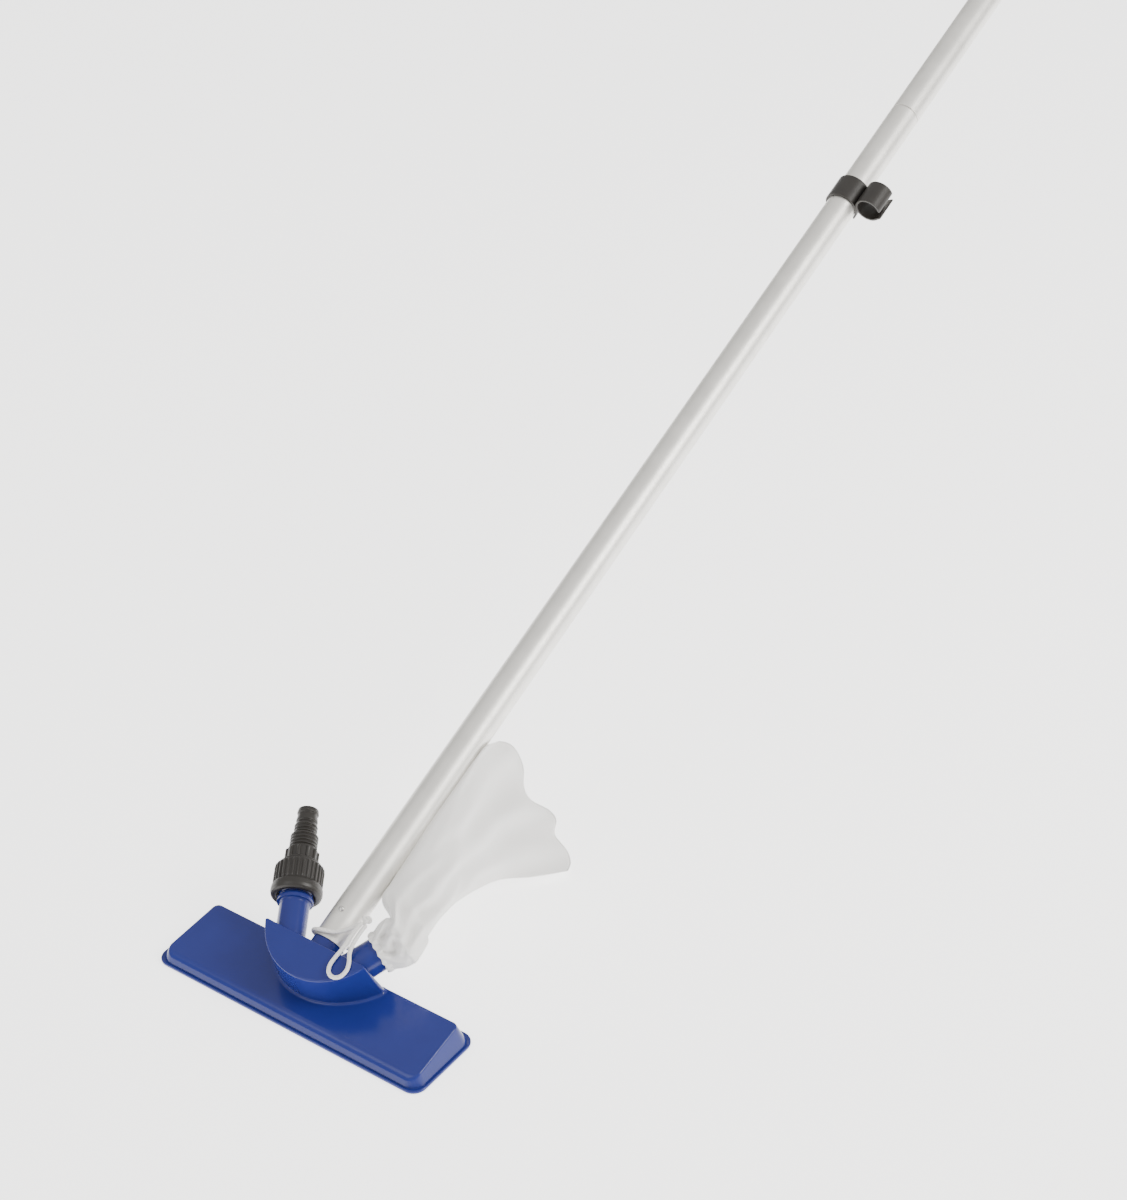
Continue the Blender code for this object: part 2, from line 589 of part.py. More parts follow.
def hose_clip(mat, pole_axis):
    """Double clip: a large C on the pole and a smaller C for the garden hose."""
    inner = POLE_RADIUS + GAP
    clip = c_ring("hose_clip", (0, 0), inner, -48, 228, (1 * MM, 1 * MM), pole_axis)
    clip.data.materials.append(mat)
    reach = inner + HOSE_RADIUS + 2 * CLIP_WALL - 0.2 * MM
    centre = (reach * math.cos(CLIP_BEARING), reach * math.sin(CLIP_BEARING))
    ring = c_ring("hose_ring", centre, HOSE_RADIUS, CLIP_MOUTH[0], 360 + CLIP_MOUTH[1], (0, 2 * MM), pole_axis)
    combine(clip, ring, 'UNION')
    web = turned("clip_web", [(0, -CLIP_LENGTH / 2), (2 * MM, -CLIP_LENGTH / 2), (2 * MM, CLIP_LENGTH / 2),
                              (0, CLIP_LENGTH / 2)], parent=pole_axis, steps=12)
    across = inner + CLIP_WALL
    web.location = (across * math.cos(CLIP_BEARING), -across * math.sin(CLIP_BEARING), CLIP_CENTRE)
    combine(clip, web, 'UNION')


def along_outlet(distance, across=0.0, rise=0.0):
    """World place on the outlet: distance along it, across it away from the pole, and rise over it."""
    sine, cosine = math.sin(TUBE_ANGLE), math.cos(TUBE_ANGLE)
    return on_pole(sine * distance + cosine * across, TUBE_MEET + cosine * distance - sine * across,
                   OUTLET_LIFT + rise)


def on_pole(x, along, rise):
    """World place given beside the pole: sideways, along its axis, and rise over the tilted plane."""
    sine, cosine = math.sin(POLE_TILT), math.cos(POLE_TILT)
    return Vector((x, along * cosine - rise * sine, AXIS_HEIGHT + along * sine + rise * cosine))


def bag_hem(mat, outlet_axis):
    """Gathered hem round the outlet, with the drawstring run inside it."""
    inner = OUTLET_RADIUS + GAP
    outer = inner + HEM_THICK
    turned("bag_hem", [(inner, HEM_START), (outer - 1.5 * MM, HEM_START), (outer, HEM_START + 2 * MM),
                       (outer, HEM_START + HEM_LENGTH - 2 * MM), (outer - 1.5 * MM, HEM_START + HEM_LENGTH),
                       (inner, HEM_START + HEM_LENGTH)], mat, outlet_axis, 32)


def bag_rings(sides=20):
    """Sections of the filled bag, from its neck to its far seam."""
    neck = OUTLET_RADIUS + OUTLET_LIP + GAP + BAG_NECK_WALL
    start = HEM_START + HEM_LENGTH + GAP
    sections = []
    for distance, radius in ((start, neck), (OUTLET_END, neck + 1 * MM), (OUTLET_END + 6 * MM, neck + 2.5 * MM)):
        centre = along_outlet(distance)
        sections.append((centre, along_outlet(distance, radius) - centre, along_outlet(distance, 0, radius) - centre))
    # edge beside the pole, edge towards the floor, and half thickness, in millimetres
    beside_pole = POLE_RADIUS / MM + 5
    edges = ((Vector((beside_pole + 1, 92, 76)), Vector((62, 94, 36)), 18),
             (Vector((beside_pole, 132, 93)), Vector((50, 128, 28)), 16),
             (Vector((beside_pole, 170, 109)), Vector((46, 158, 23)), 14),
             (Vector((beside_pole, 206, 124)), Vector((50, 190, 16)), 11),
             (Vector((beside_pole, 232, 134)), Vector((72, 224, 10)), 7),
             (Vector((beside_pole + 1, 252, 130)), Vector((88, 254, 8)), 3))
    for upper, lower, thick in edges:
        half = (lower - upper) * MM / 2
        side = half.cross(Vector((0, 1, 0.3))).normalized() * thick * MM
        sections.append(((upper + lower) * MM / 2, half, side))
    rings = []
    for centre, across, thick in sections:
        rings.append([centre + across * math.cos(TAU * i / sides) + thick * math.sin(TAU * i / sides)
                      for i in range(sides)])
    return rings


def debris_bag(mat, outlet_axis):
    """Plain closed solid of the net bag, with a socket for the outlet's end."""
    bm = bmesh.new()
    loft(bm, bag_rings())
    bmesh.ops.triangulate(bm, faces=bm.faces)
    bag = add_object("debris_bag", bm, mat)
    socket = OUTLET_RADIUS + OUTLET_LIP + GAP
    combine(bag, turned("bag_socket", [(0, HEM_START), (socket, HEM_START), (socket, OUTLET_END + 2 * MM),
                                       (0, OUTLET_END + 2 * MM)], parent=outlet_axis, steps=32), 'DIFFERENCE')


def smooth_route(points, spacing):
    """Points spaced along a smooth curve through the given ones."""
    ends = [2 * points[0] - points[1]] + points + [2 * points[-1] - points[-2]]
    fine = []
    for a, b, c, d in zip(ends, ends[1:], ends[2:], ends[3:]):
        for i in range(20):
            t = i / 20
            fine.append(0.5 * (2 * b + (c - a) * t + (2 * a - 5 * b + 4 * c - d) * t * t
                               + (3 * b - a - 3 * c + d) * t ** 3))
    fine.append(points[-1])
    lengths = [0.0]
    for a, b in zip(fine, fine[1:]):
        lengths.append(lengths[-1] + (b - a).length)
    count = max(2, round(lengths[-1] / spacing))
    route = []
    k = 0
    for i in range(count + 1):
        want = lengths[-1] * i / count
        while k < len(fine) - 2 and lengths[k + 1] < want:
            k += 1
        share = (want - lengths[k]) / (lengths[k + 1] - lengths[k])
        route.append(fine[k].lerp(fine[k + 1], share))
    return route


def cord(name, points, mat):
    """Round cord along a route, as a bevelled curve with closed ends."""
    curve = bpy.data.curves.new(name, 'CURVE')
    curve.dimensions = '3D'
    curve.bevel_depth = CORD_DIAMETER / 2
    curve.bevel_resolution = 2
    curve.use_fill_caps = True
    route = smooth_route(points, 2.2 * CORD_DIAMETER)
    spline = curve.splines.new('POLY')
    spline.points.add(len(route) - 1)
    for target, point in zip(spline.points, route):
        target.co = (*point, 1.0)
    curve.materials.append(mat)
    obj = bpy.data.objects.new(name, curve)
    bpy.context.scene.collection.objects.link(obj)


# The drawstring, beside the pole: sideways, along, rise, in millimetres.
WRAP_ROUTE = ((33.5, 47.5, -15.5), (27, 45, -19), (17, 41, -20), (5, 37, -19.2), (-7, 34, -16.2), (-14.5, 32.4, -9.5),
              (-17.5, 31.2, 0), (-14.6, 30.6, 9.8), (-7, 31, 16.2), (2, 32.5, 17.8), (10, 35.5, 16.9), (18, 41, 17.5),
              (25.2, 47.8, 20))
WRAP_RADIUS = 18.6 * MM
# The loop and the knot: rise is over the housing's face.
LOOP_ROUTE = ((29.9, 49.2, 4.2), (29.2, 42, 4.4), (28.6, 33, 3.6), (28, 24, 2.4), (26.8, 15, 2.2), (26.6, 7, 2.2),
              (29.6, 0.4, 2.2), (35.8, -1.8, 2.2), (41.4, 1.6, 2.2), (43, 8.5, 2.2), (40.6, 15.5, 2.2),
              (36.6, 21.5, 2.2), (34.3, 28.5, 2.8), (34.2, 37, 3.8), (34.6, 44.5, 4.4), (34.8, 48.6, 4.2))
KNOT_PLACE = (31.5, 54.5, 2.5)


def drawstring(mat):
    """Two runs of one cord and the knot they share."""
    # the wrap keeps a cord's width off the pole, and the loop keeps beside the wrap
    spread = (POLE_RADIUS + CORD_DIAMETER) / WRAP_RADIUS
    beside = POLE_RADIUS + CORD_DIAMETER - WRAP_RADIUS
    wrap = [on_pole(x * spread * MM, s * MM, h * spread * MM) for x, s, h in WRAP_ROUTE]
    loop = [on_pole(x * MM + beside, s * MM, h * MM + FACE_RISE) for x, s, h in LOOP_ROUTE]
    cord("drawstring_wrap", wrap, mat)
    cord("drawstring_loop", loop, mat)
    bm = bmesh.new()
    bmesh.ops.create_uvsphere(bm, u_segments=16, v_segments=10, radius=4.6 * MM)
    bmesh.ops.scale(bm, vec=(1.15, 1.0, 0.85), verts=bm.verts)
    knot = add_object("drawstring_knot", bm, mat)
    knot.location = on_pole(KNOT_PLACE[0] * MM + beside, KNOT_PLACE[1] * MM, KNOT_PLACE[2] * MM + FACE_RISE)
    knot.rotation_euler = (POLE_TILT, 0, 0)


def build():
    """Make every piece in its place."""
    clear_scene()
    blue = material("blue_plastic", (0.022, 0.05, 0.27), 0.3)
    black = material("black_plastic", (0.03, 0.027, 0.023), 0.45)
    steel = material("spring_steel", (0.62, 0.62, 0.6), 0.3, 1.0)
    aluminium = material("aluminium", (0.78, 0.77, 0.73), 0.35, 1.0)
    rubber = material("rubber", (0.05, 0.05, 0.05), 0.8)
    net = material("white_net", (0.86, 0.85, 0.83), 0.9)
    string = material("white_cord", (0.9, 0.89, 0.87), 0.8)

    pole_axis = axis_frame("pole_axis", None, (0, 0, AXIS_HEIGHT), (POLE_TILT - math.pi / 2, 0, 0))
    inlet_axis = axis_frame("inlet_axis", pole_axis, (0, 0, TUBE_MEET), (0, -TUBE_ANGLE, 0))
    outlet_axis = axis_frame("outlet_axis", pole_axis, (0, -OUTLET_LIFT, TUBE_MEET), (0, TUBE_ANGLE, 0))

    head_shell(blue, pole_axis, inlet_axis, outlet_axis)
    suction_plate(blue)
    plate_screws(steel)
    jet_nozzle(black, inlet_axis)
    flat_washer(rubber, inlet_axis)
    hose_tail(black, inlet_axis)
    union_nut(black, inlet_axis)
    pole_tubes(aluminium, pole_axis)
    snap_lock("lower", POLE_START + BUTTON_SETBACK, 1, SPIGOT_BORE, steel, steel, pole_axis)
    snap_lock("upper", section_joint() + BUTTON_SETBACK, -1, POLE_RADIUS - 2 * POLE_WALL - GAP, steel, steel,
              pole_axis)
    end_cap(black, pole_axis)
    hose_clip(black, pole_axis)
    bag_hem(net, outlet_axis)
    debris_bag(net, outlet_axis)
    drawstring(string)
    bpy.context.view_layer.update()


build()
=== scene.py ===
# %% [markdown]
# # Hose-driven pool cleaner
# A small pool vacuum: a moulded blue head that lies on the floor, a garden-hose union, an aluminium
# pole in two sections, a black hose clip and a fine white net bag tied on with a drawstring. The CAD
# pieces give the places and sizes. This lesson builds what the eye sees on top of them.

# %% Load the measured model
import math
import bmesh
import bpy
from mathutils import Matrix, Vector, noise


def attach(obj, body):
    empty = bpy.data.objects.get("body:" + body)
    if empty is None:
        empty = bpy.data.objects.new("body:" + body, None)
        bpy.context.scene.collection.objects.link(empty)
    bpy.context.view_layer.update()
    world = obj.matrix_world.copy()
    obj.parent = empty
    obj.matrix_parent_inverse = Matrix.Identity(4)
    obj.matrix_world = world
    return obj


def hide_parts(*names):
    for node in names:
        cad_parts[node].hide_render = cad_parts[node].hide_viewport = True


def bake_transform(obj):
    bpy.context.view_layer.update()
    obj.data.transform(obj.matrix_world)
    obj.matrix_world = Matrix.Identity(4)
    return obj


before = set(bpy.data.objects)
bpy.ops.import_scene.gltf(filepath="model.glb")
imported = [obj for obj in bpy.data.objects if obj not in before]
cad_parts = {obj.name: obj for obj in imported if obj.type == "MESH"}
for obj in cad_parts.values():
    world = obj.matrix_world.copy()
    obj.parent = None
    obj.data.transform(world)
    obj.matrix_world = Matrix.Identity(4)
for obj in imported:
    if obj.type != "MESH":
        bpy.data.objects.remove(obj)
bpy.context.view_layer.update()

MM = 0.001
TAU = 2 * math.pi

# %% [markdown]
# ## The tilted plane
# Every tube on this object lies in one plane that leans back with the pole. It is easiest to give a
# place as three numbers: sideways, along the pole, and rise over that plane. `beside` turns them into
# a place in the room, and `axis` gives a matrix whose Z runs along one of the tubes.

# %% Places beside the pole
TILT = math.radians(24)
AXIS_HEIGHT = 33 * MM
TUBE_ANGLE = math.radians(29)
TUBE_MEET = -46.7


def beside(x, along, rise):
    """World place from millimetres sideways, along the pole, and over the tilted plane."""
    s, c = math.sin(TILT), math.cos(TILT)
    return Vector((x, along * c - rise * s, along * s + rise * c)) * MM + Vector((0, 0, AXIS_HEIGHT))


def axis(start, ahead, up=None):
    """Matrix with its origin at start, Z towards ahead, and Y away from the tilted plane's rise."""
    z = (ahead - start).normalized()
    rise = up if up is not None else (beside(0, 0, 1) - beside(0, 0, 0)).normalized()
    x = rise.cross(z).normalized()
    y = z.cross(x)
    return Matrix.Translation(start) @ Matrix((x, y, z)).transposed().to_4x4()


POLE = axis(beside(0, 0, 0), beside(0, 1000, 0))
MEET = beside(0, TUBE_MEET, 0)
INLET = axis(MEET, beside(-math.sin(TUBE_ANGLE) * 1000, TUBE_MEET + math.cos(TUBE_ANGLE) * 1000, 0))
LIFT = 2
OUTLET = axis(beside(0, TUBE_MEET, LIFT),
              beside(math.sin(TUBE_ANGLE) * 1000, TUBE_MEET + math.cos(TUBE_ANGLE) * 1000, LIFT))
print("pole starts at", [round(v, 3) for v in POLE @ Vector((0, 0, 0.028))])

# %% [markdown]
# ## Camera, floor and light
# The object is seen from its right front, a little over waist height, with the pole running out of
# the top of the view. A long lens keeps the head's long edges nearly parallel. The floor is plain
# and pale. One broad light above and to the left models the round pole, and a weak one fills in.

# %% Studio
scene = bpy.context.scene
camera_data = bpy.data.cameras.new("Camera")
camera_data.sensor_width = 36
camera_data.lens = 69.4
camera_data.clip_start = 0.05
camera = bpy.data.objects.new("Camera", camera_data)
scene.collection.objects.link(camera)
YAW, PITCH, ROLL = math.radians(35.68), math.radians(33.22), math.radians(-0.67)
CAMERA_PLACE = (1.0314, -1.0629, 1.3639)
camera.matrix_world = (Matrix.Translation(CAMERA_PLACE) @ Matrix.Rotation(YAW, 4, 'Z')
                       @ Matrix.Rotation(math.pi / 2 - PITCH, 4, 'X') @ Matrix.Rotation(ROLL, 4, 'Z'))
scene.camera = camera
print("camera", [round(v, 3) for v in camera.matrix_world.translation], "lens", camera_data.lens)


def area_light(name, place, target, size, power, colour=(1, 1, 1)):
    """Square soft light that looks at its target."""
    data = bpy.data.lights.new(name, 'AREA')
    data.shape = 'SQUARE'
    data.size = size
    data.energy = power
    data.color = colour
    light = bpy.data.objects.new(name, data)
    scene.collection.objects.link(light)
    light.location = place
    light.rotation_euler = (Vector(target) - Vector(place)).to_track_quat('-Z', 'Y').to_euler()
    return light


area_light("Key", (2.3, 1.0, 2.1), (0, 0.4, 0.1), 1.3, 70, (1.0, 0.985, 0.955))
area_light("Fill", (-0.9, -1.9, 2.4), (0, 0.2, 0.1), 1.6, 16, (0.97, 0.985, 1.0))
world = bpy.data.worlds.new("World")
scene.world = world
world.use_nodes = True
sky = world.node_tree
direction = sky.nodes.new("ShaderNodeTexCoord")
parts = sky.nodes.new("ShaderNodeSeparateXYZ")
fade = sky.nodes.new("ShaderNodeMapRange")
fade.inputs["From Min"].default_value = 0.1
fade.inputs["To Min"].default_value = 0.55
fade.inputs["To Max"].default_value = 1.15
sky.links.new(direction.outputs["Generated"], parts.inputs["Vector"])
sky.links.new(parts.outputs["Z"], fade.inputs["Value"])
sky.links.new(fade.outputs["Result"], sky.nodes["Background"].inputs["Strength"])
sky.nodes["Background"].inputs["Color"].default_value = (1.0, 0.99, 0.975, 1)

# %% [markdown]
# ## Materials
# Each finish is a few nodes: one Principled shader, and noise that varies its roughness and bump a
# little, because no real moulding is perfectly even. Noise reads Object coordinates, in metres.

# %% Material helpers


def finish(name, colour, roughness, metallic=0.0, bump=0.0, scale=400.0, rough_spread=0.08, tint=0.0,
           specular=0.5):
    """Principled material with noise in its roughness, its bump and its tint."""
    mat = bpy.data.materials.new(name)
    mat.use_nodes = True
    tree = mat.node_tree
    shader = tree.nodes["Principled BSDF"]
    shader.inputs["Base Color"].default_value = (*colour, 1)
    shader.inputs["Roughness"].default_value = roughness
    shader.inputs["Metallic"].default_value = metallic
    shader.inputs["Specular IOR Level"].default_value = specular
    place = tree.nodes.new("ShaderNodeTexCoord")
    grain = tree.nodes.new("ShaderNodeTexNoise")
    grain.inputs["Scale"].default_value = scale
    grain.inputs["Detail"].default_value = 4
    tree.links.new(place.outputs["Object"], grain.inputs["Vector"])
    spread = tree.nodes.new("ShaderNodeMapRange")
    spread.inputs["To Min"].default_value = max(0.02, roughness - rough_spread)
    spread.inputs["To Max"].default_value = roughness + rough_spread
    tree.links.new(grain.outputs["Fac"], spread.inputs["Value"])
    tree.links.new(spread.outputs["Result"], shader.inputs["Roughness"])
    if tint:
        ramp = tree.nodes.new("ShaderNodeMapRange")
        ramp.inputs["From Min"].default_value = 0.3
        ramp.inputs["From Max"].default_value = 0.7
        ramp.inputs["To Min"].default_value = 1 - tint
        ramp.inputs["To Max"].default_value = 1 + tint
        broad = tree.nodes.new("ShaderNodeTexNoise")
        broad.inputs["Scale"].default_value = scale / 8
        tree.links.new(place.outputs["Object"], broad.inputs["Vector"])
        tree.links.new(broad.outputs["Fac"], ramp.inputs["Value"])
        shade = tree.nodes.new("ShaderNodeVectorMath")
        shade.operation = 'SCALE'
        shade.inputs[0].default_value = colour
        tree.links.new(ramp.outputs["Result"], shade.inputs["Scale"])
        tree.links.new(shade.outputs["Vector"], shader.inputs["Base Color"])
    if bump:
        relief = tree.nodes.new("ShaderNodeBump")
        relief.inputs["Strength"].default_value = bump
        relief.inputs["Distance"].default_value = 0.0003
        tree.links.new(grain.outputs["Fac"], relief.inputs["Height"])
        tree.links.new(relief.outputs["Normal"], shader.inputs["Normal"])
    return mat


FLOOR = finish("Floor", (0.85, 0.845, 0.84), 0.9, scale=3)
floor_shader = FLOOR.node_tree.nodes["Principled BSDF"]
floor_shader.inputs["Emission Color"].default_value = (1.0, 0.995, 0.99, 1)
floor_shader.inputs["Emission Strength"].default_value = 2.2
BLUE = finish("Glossy blue plastic", (0.014, 0.024, 0.18), 0.19, bump=0.01, scale=260, rough_spread=0.04,
              tint=0.04, specular=0.36)
BLACK = finish("Black plastic", (0.017, 0.0145, 0.012), 0.42, bump=0.06, scale=900, tint=0.1)
ALUMINIUM = finish("Satin aluminium", (0.82, 0.805, 0.765), 0.46, metallic=0.9, bump=0.04, scale=350,
                   rough_spread=0.08, tint=0.05)
STEEL = finish("Stainless steel", (0.63, 0.62, 0.6), 0.25, metallic=1.0, scale=900)
RUBBER = finish("Black rubber", (0.02, 0.02, 0.02), 0.75, bump=0.2, scale=1200)

FLOOR_HALF, FLOOR_LEVEL = 30, -0.0004
signs = ((-1, -1), (1, -1), (1, 1), (-1, 1))
floor_corners = [(x * FLOOR_HALF, y * FLOOR_HALF, FLOOR_LEVEL) for x, y in signs]
floor_mesh = bpy.data.meshes.new("Floor")
floor_mesh.from_pydata(floor_corners, [], [(0, 1, 2, 3)])
floor = bpy.data.objects.new("Floor", floor_mesh)
floor_mesh.materials.append(FLOOR)
scene.collection.objects.link(floor)
print("finishes", [mat.name for mat in (FLOOR, BLUE, BLACK, ALUMINIUM, STEEL, RUBBER)])

# %% [markdown]
# ## Mesh helpers
# Nearly every piece is a skin over a row of rings. `skin` makes one and keeps a map of the surface in
# metres, for the cords and cloth. `soften` rounds the corners of an outline, so that every edge takes
# the light. `lathe` spins an outline round one of the axes.

# %% Skins, outlines and turning


def skin(name, rings, material, joined=False, caps=(True, True), sharp=40, body="head", weighted=True):
    """Closed rings skinned into one piece. joined makes the last ring meet the first."""
    count = len(rings[0])
    verts = [point for ring in rings for point in ring]
    faces = []
    uvs = []
    rows = len(rings)
    travel = [0.0]
    for a, b in zip(rings, rings[1:] + rings[:1]):
        travel.append(travel[-1] + sum((Vector(q) - Vector(p)).length for p, q in zip(a, b)) / count)
    round_length = max(sum((Vector(r[i]) - Vector(r[i - 1])).length for i in range(count)) for r in rings)
    for r in range(rows if joined else rows - 1):
        nxt = (r + 1) % rows
        for i in range(count):
            j = (i + 1) % count
            faces.append((r * count + i, r * count + j, nxt * count + j, nxt * count + i))
            left, right = i / count * round_length, (i + 1) / count * round_length
            uvs += [(left, travel[r]), (right, travel[r]), (right, travel[r + 1]), (left, travel[r + 1])]
    if not joined:
        if caps[0]:
            faces.append(tuple(reversed(range(count))))
            uvs += [(0, 0)] * count
        if caps[1]:
            faces.append(tuple(range((rows - 1) * count, rows * count)))
            uvs += [(0, travel[rows - 1])] * count
    name = name.lower().replace(",", "").replace(" ", "_")
    print("%s: %d faces on %s" % (name, len(faces), body or "two bodies"))
    mesh = bpy.data.meshes.new(name)
    mesh.from_pydata([tuple(v) for v in verts], [], faces)
    layer = mesh.uv_layers.new(name="UVMap")
    for loop, uv in zip(layer.data, uvs):
        loop.uv = uv
    mesh.materials.append(material)
    mesh.validate()
    mesh.shade_smooth()
    mesh.set_sharp_from_angle(angle=math.radians(sharp))
    obj = bpy.data.objects.new(name, mesh)
    scene.collection.objects.link(obj)
    outward(obj)
    if weighted:
        obj.modifiers.new("Even shading", 'WEIGHTED_NORMAL').keep_sharp = True
    if body:
        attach(obj, body)
    return obj


def outward(obj):
    """Turn a closed piece the right way out."""
    bm = bmesh.new()
    bm.from_mesh(obj.data)
    bmesh.ops.remove_doubles(bm, verts=bm.verts, dist=1e-7)
    if bm.calc_volume(signed=True) < 0:
        bmesh.ops.reverse_faces(bm, faces=bm.faces)
    bm.to_mesh(obj.data)
    bm.free()


def soften(outline, radius, steps=4, closed=True):
    """Round each corner of a 2-D outline with a short curve."""
    points = [Vector(p) for p in outline]
    count = len(points)
    result = []
    for i, p in enumerate(points):
        if not closed and i in (0, count - 1):
            result.append(p)
            continue
        before, after = points[i - 1] - p, points[(i + 1) % count] - p
        if before.length < 1e-9 or after.length < 1e-9 or abs(before.angle(after) - math.pi) < 0.12:
            result.append(p)
            continue
        reach_a = before.normalized() * min(radius, before.length * 0.45)
        reach_b = after.normalized() * min(radius, after.length * 0.45)
        for k in range(steps + 1):
            t = k / steps
            result.append(p + reach_a * (1 - t) ** 2 + reach_b * t ** 2)
    return result


def lathe(name, outline, place, material, body="head", edge=0.5, steps=72, closed=True, sharp=40):
    """Spin an outline of (radius, height) in millimetres round the Z axis of place."""
    profile = soften([(r, z) for r, z in outline], edge, closed=closed)
    rings = []
    for r, z in profile:
        r = max(r, 0.0)
        rings.append([place @ (Vector((r * math.cos(TAU * i / steps), r * math.sin(TAU * i / steps), z)) * MM)
                      for i in range(steps)])
    return skin(name, rings, material, joined=closed, caps=(False, False), sharp=sharp, body=body)


def with_ends(values):
    """The values with one more at each end, in line, so that a smooth curve can start and stop there."""
    return [2 * values[0] - values[1]] + list(values) + [2 * values[-1] - values[-2]]


def on_curve(a, b, c, d, t):
    """Point at t between b and c on the smooth curve through four neighbours."""
    return 0.5 * (2 * b + (c - a) * t + (2 * a - 5 * b + 4 * c - d) * t * t
                  + (3 * b - a - 3 * c + d) * t ** 3)


def even(values, steps):
    """Values read at even steps of a smooth curve through the given ones."""
    ends = with_ends(values)
    result = []
    for r in range(steps + 1):
        u = r / steps * (len(values) - 1)
        k = min(int(u), len(values) - 2)
        result.append(on_curve(*ends[k:k + 4], u - k))
    return result


def smooth_line(points, spacing):
    """Evenly spaced points on a smooth curve through the given ones."""
    points = [Vector(p) for p in points]
    ends = with_ends(points)
    fine = []
    for a, b, c, d in zip(ends, ends[1:], ends[2:], ends[3:]):
        fine += [on_curve(a, b, c, d, k / 24) for k in range(24)]
    fine.append(points[-1])
    run = [0.0]
    for a, b in zip(fine, fine[1:]):
        run.append(run[-1] + (b - a).length)
    count = max(2, round(run[-1] / spacing))
    line = []
    k = 0
    for i in range(count + 1):
        want = run[-1] * i / count
        while k < len(fine) - 2 and run[k + 1] < want:
            k += 1
        line.append(fine[k].lerp(fine[k + 1], (want - run[k]) / max(1e-12, run[k + 1] - run[k])))
    return line


def tube(name, line, radius, material, sides=14, body="head"):
    """Round cord of one thickness along a line, with domed ends."""
    rings = []
    side = None
    last = len(line) - 1
    ends = [(0, -1.0), (0, -0.8), (0, -0.4)] + [(i, 0.0) for i in range(last + 1)]
    ends += [(last, 0.4), (last, 0.8), (last, 1.0)]
    for i, past in ends:
        ahead = (line[min(i + 1, last)] - line[max(i - 1, 0)]).normalized()
        side = ahead.orthogonal() if side is None else side - ahead * side.dot(ahead)
        side = side.normalized()
        other = ahead.cross(side)
        size = radius * math.sqrt(max(0.02, 1 - past * past))
        centre = line[i] + ahead * past * radius
        rings.append([centre + (side * math.cos(TAU * k / sides) + other * math.sin(TAU * k / sides)) * size
                      for k in range(sides)])
    return skin(name, rings, material, sharp=60, body=body, weighted=False)

# %% [markdown]
# ## The drawstring
# The bag's drawstring is a thin round braid. One run goes from the hem under the pole's foot, up its
# left side and over the front to a knot. The spare end hangs as a loop on the flat of the housing.
# The braid is drawn in the material, as two sets of slanting waves on the cord's own map.

# %% Cord material


def braid(name, colour, radius):
    """White braid: two slanting wave patterns on the cord's surface map."""
    mat = finish(name, colour, 0.85, scale=2500)
    tree = mat.node_tree
    shader = tree.nodes["Principled BSDF"]
    uv = tree.nodes.new("ShaderNodeUVMap")
    uv.uv_map = "UVMap"
    heights = []
    for lean in (-1, 1):
        turn = tree.nodes.new("ShaderNodeMapping")
        turn.inputs["Rotation"].default_value = (0, 0, lean * math.radians(40))
        wave = tree.nodes.new("ShaderNodeTexWave")
        wave.inputs["Scale"].default_value = 1 / radius / 4.5
        tree.links.new(uv.outputs["UV"], turn.inputs["Vector"])
        tree.links.new(turn.outputs["Vector"], wave.inputs["Vector"])
        heights.append(wave.outputs["Fac"])
    both = tree.nodes.new("ShaderNodeMath")
    both.operation = 'MAXIMUM'
    tree.links.new(heights[0], both.inputs[0])
    tree.links.new(heights[1], both.inputs[1])
    relief = tree.nodes.new("ShaderNodeBump")
    relief.inputs["Distance"].default_value = 0.0005
    relief.inputs["Strength"].default_value = 0.7
    tree.links.new(both.outputs["Value"], relief.inputs["Height"])
    tree.links.new(relief.outputs["Normal"], shader.inputs["Normal"])
    return mat


CORD_RADIUS = 1.8 * MM
CORD = braid("White braid", (0.9, 0.885, 0.86), CORD_RADIUS)

# %% [markdown]
# The cord's route is a short list of places beside the pole, chosen as one lays a string: a
# cord has no formula. It keeps a cord's radius off the pole and off the housing's flat face, where the
# loop rests. A smooth curve through the places gives the centreline, and its length is printed.

# %% Cord routes
WRAP_ROUTE = ((33.5, 47.5, -15.5), (27, 45, -19), (17, 41, -20), (5, 37, -19.2), (-7, 34, -16.2),
              (-14.5, 32.4, -9.5), (-17.5, 31.2, 0), (-14.6, 30.6, 9.8), (-7, 31, 16.2), (2, 32.5, 17.8),
              (10, 35.5, 16.9), (18, 41, 17.5), (25.2, 47.8, 20))
LOOP_ROUTE = ((29.9, 49.2, 24.2), (29.2, 42, 24.4), (28.6, 33, 23.6), (28, 24, 22.4), (26.8, 15, 22.2),
              (26.6, 7, 22.2), (29.6, 0.4, 22.2), (35.8, -1.8, 22.2), (41.4, 1.6, 22.2), (43, 8.5, 22.2),
              (40.6, 15.5, 22.2), (36.6, 21.5, 22.2), (34.3, 28.5, 22.8), (34.2, 37, 23.8),
              (34.6, 44.5, 24.4), (34.8, 48.6, 24.2))
KNOT_PLACE = (31.5, 54.5, 22.5)
ROUTE_STEP = 1.2 * MM
wrap_line = smooth_line([beside(*p) for p in WRAP_ROUTE], ROUTE_STEP)
loop_line = smooth_line([beside(*p) for p in LOOP_ROUTE], ROUTE_STEP)
wrap = tube("Drawstring round the pole", wrap_line, CORD_RADIUS, CORD)
loop = tube("Drawstring loop", loop_line, CORD_RADIUS, CORD)


def line_length(line):
    """Length of a line of points, in metres."""
    return sum((b - a).length for a, b in zip(line, line[1:]))


print("wrap %.3f m, loop %.3f m" % (line_length(wrap_line), line_length(loop_line)))

# %% [markdown]
# The knot is one more short piece of the same cord, wound in a tight overhand turn. Its centreline is
# a trefoil-like line, squashed a little, because an overhand knot pulled tight is a small round lump.

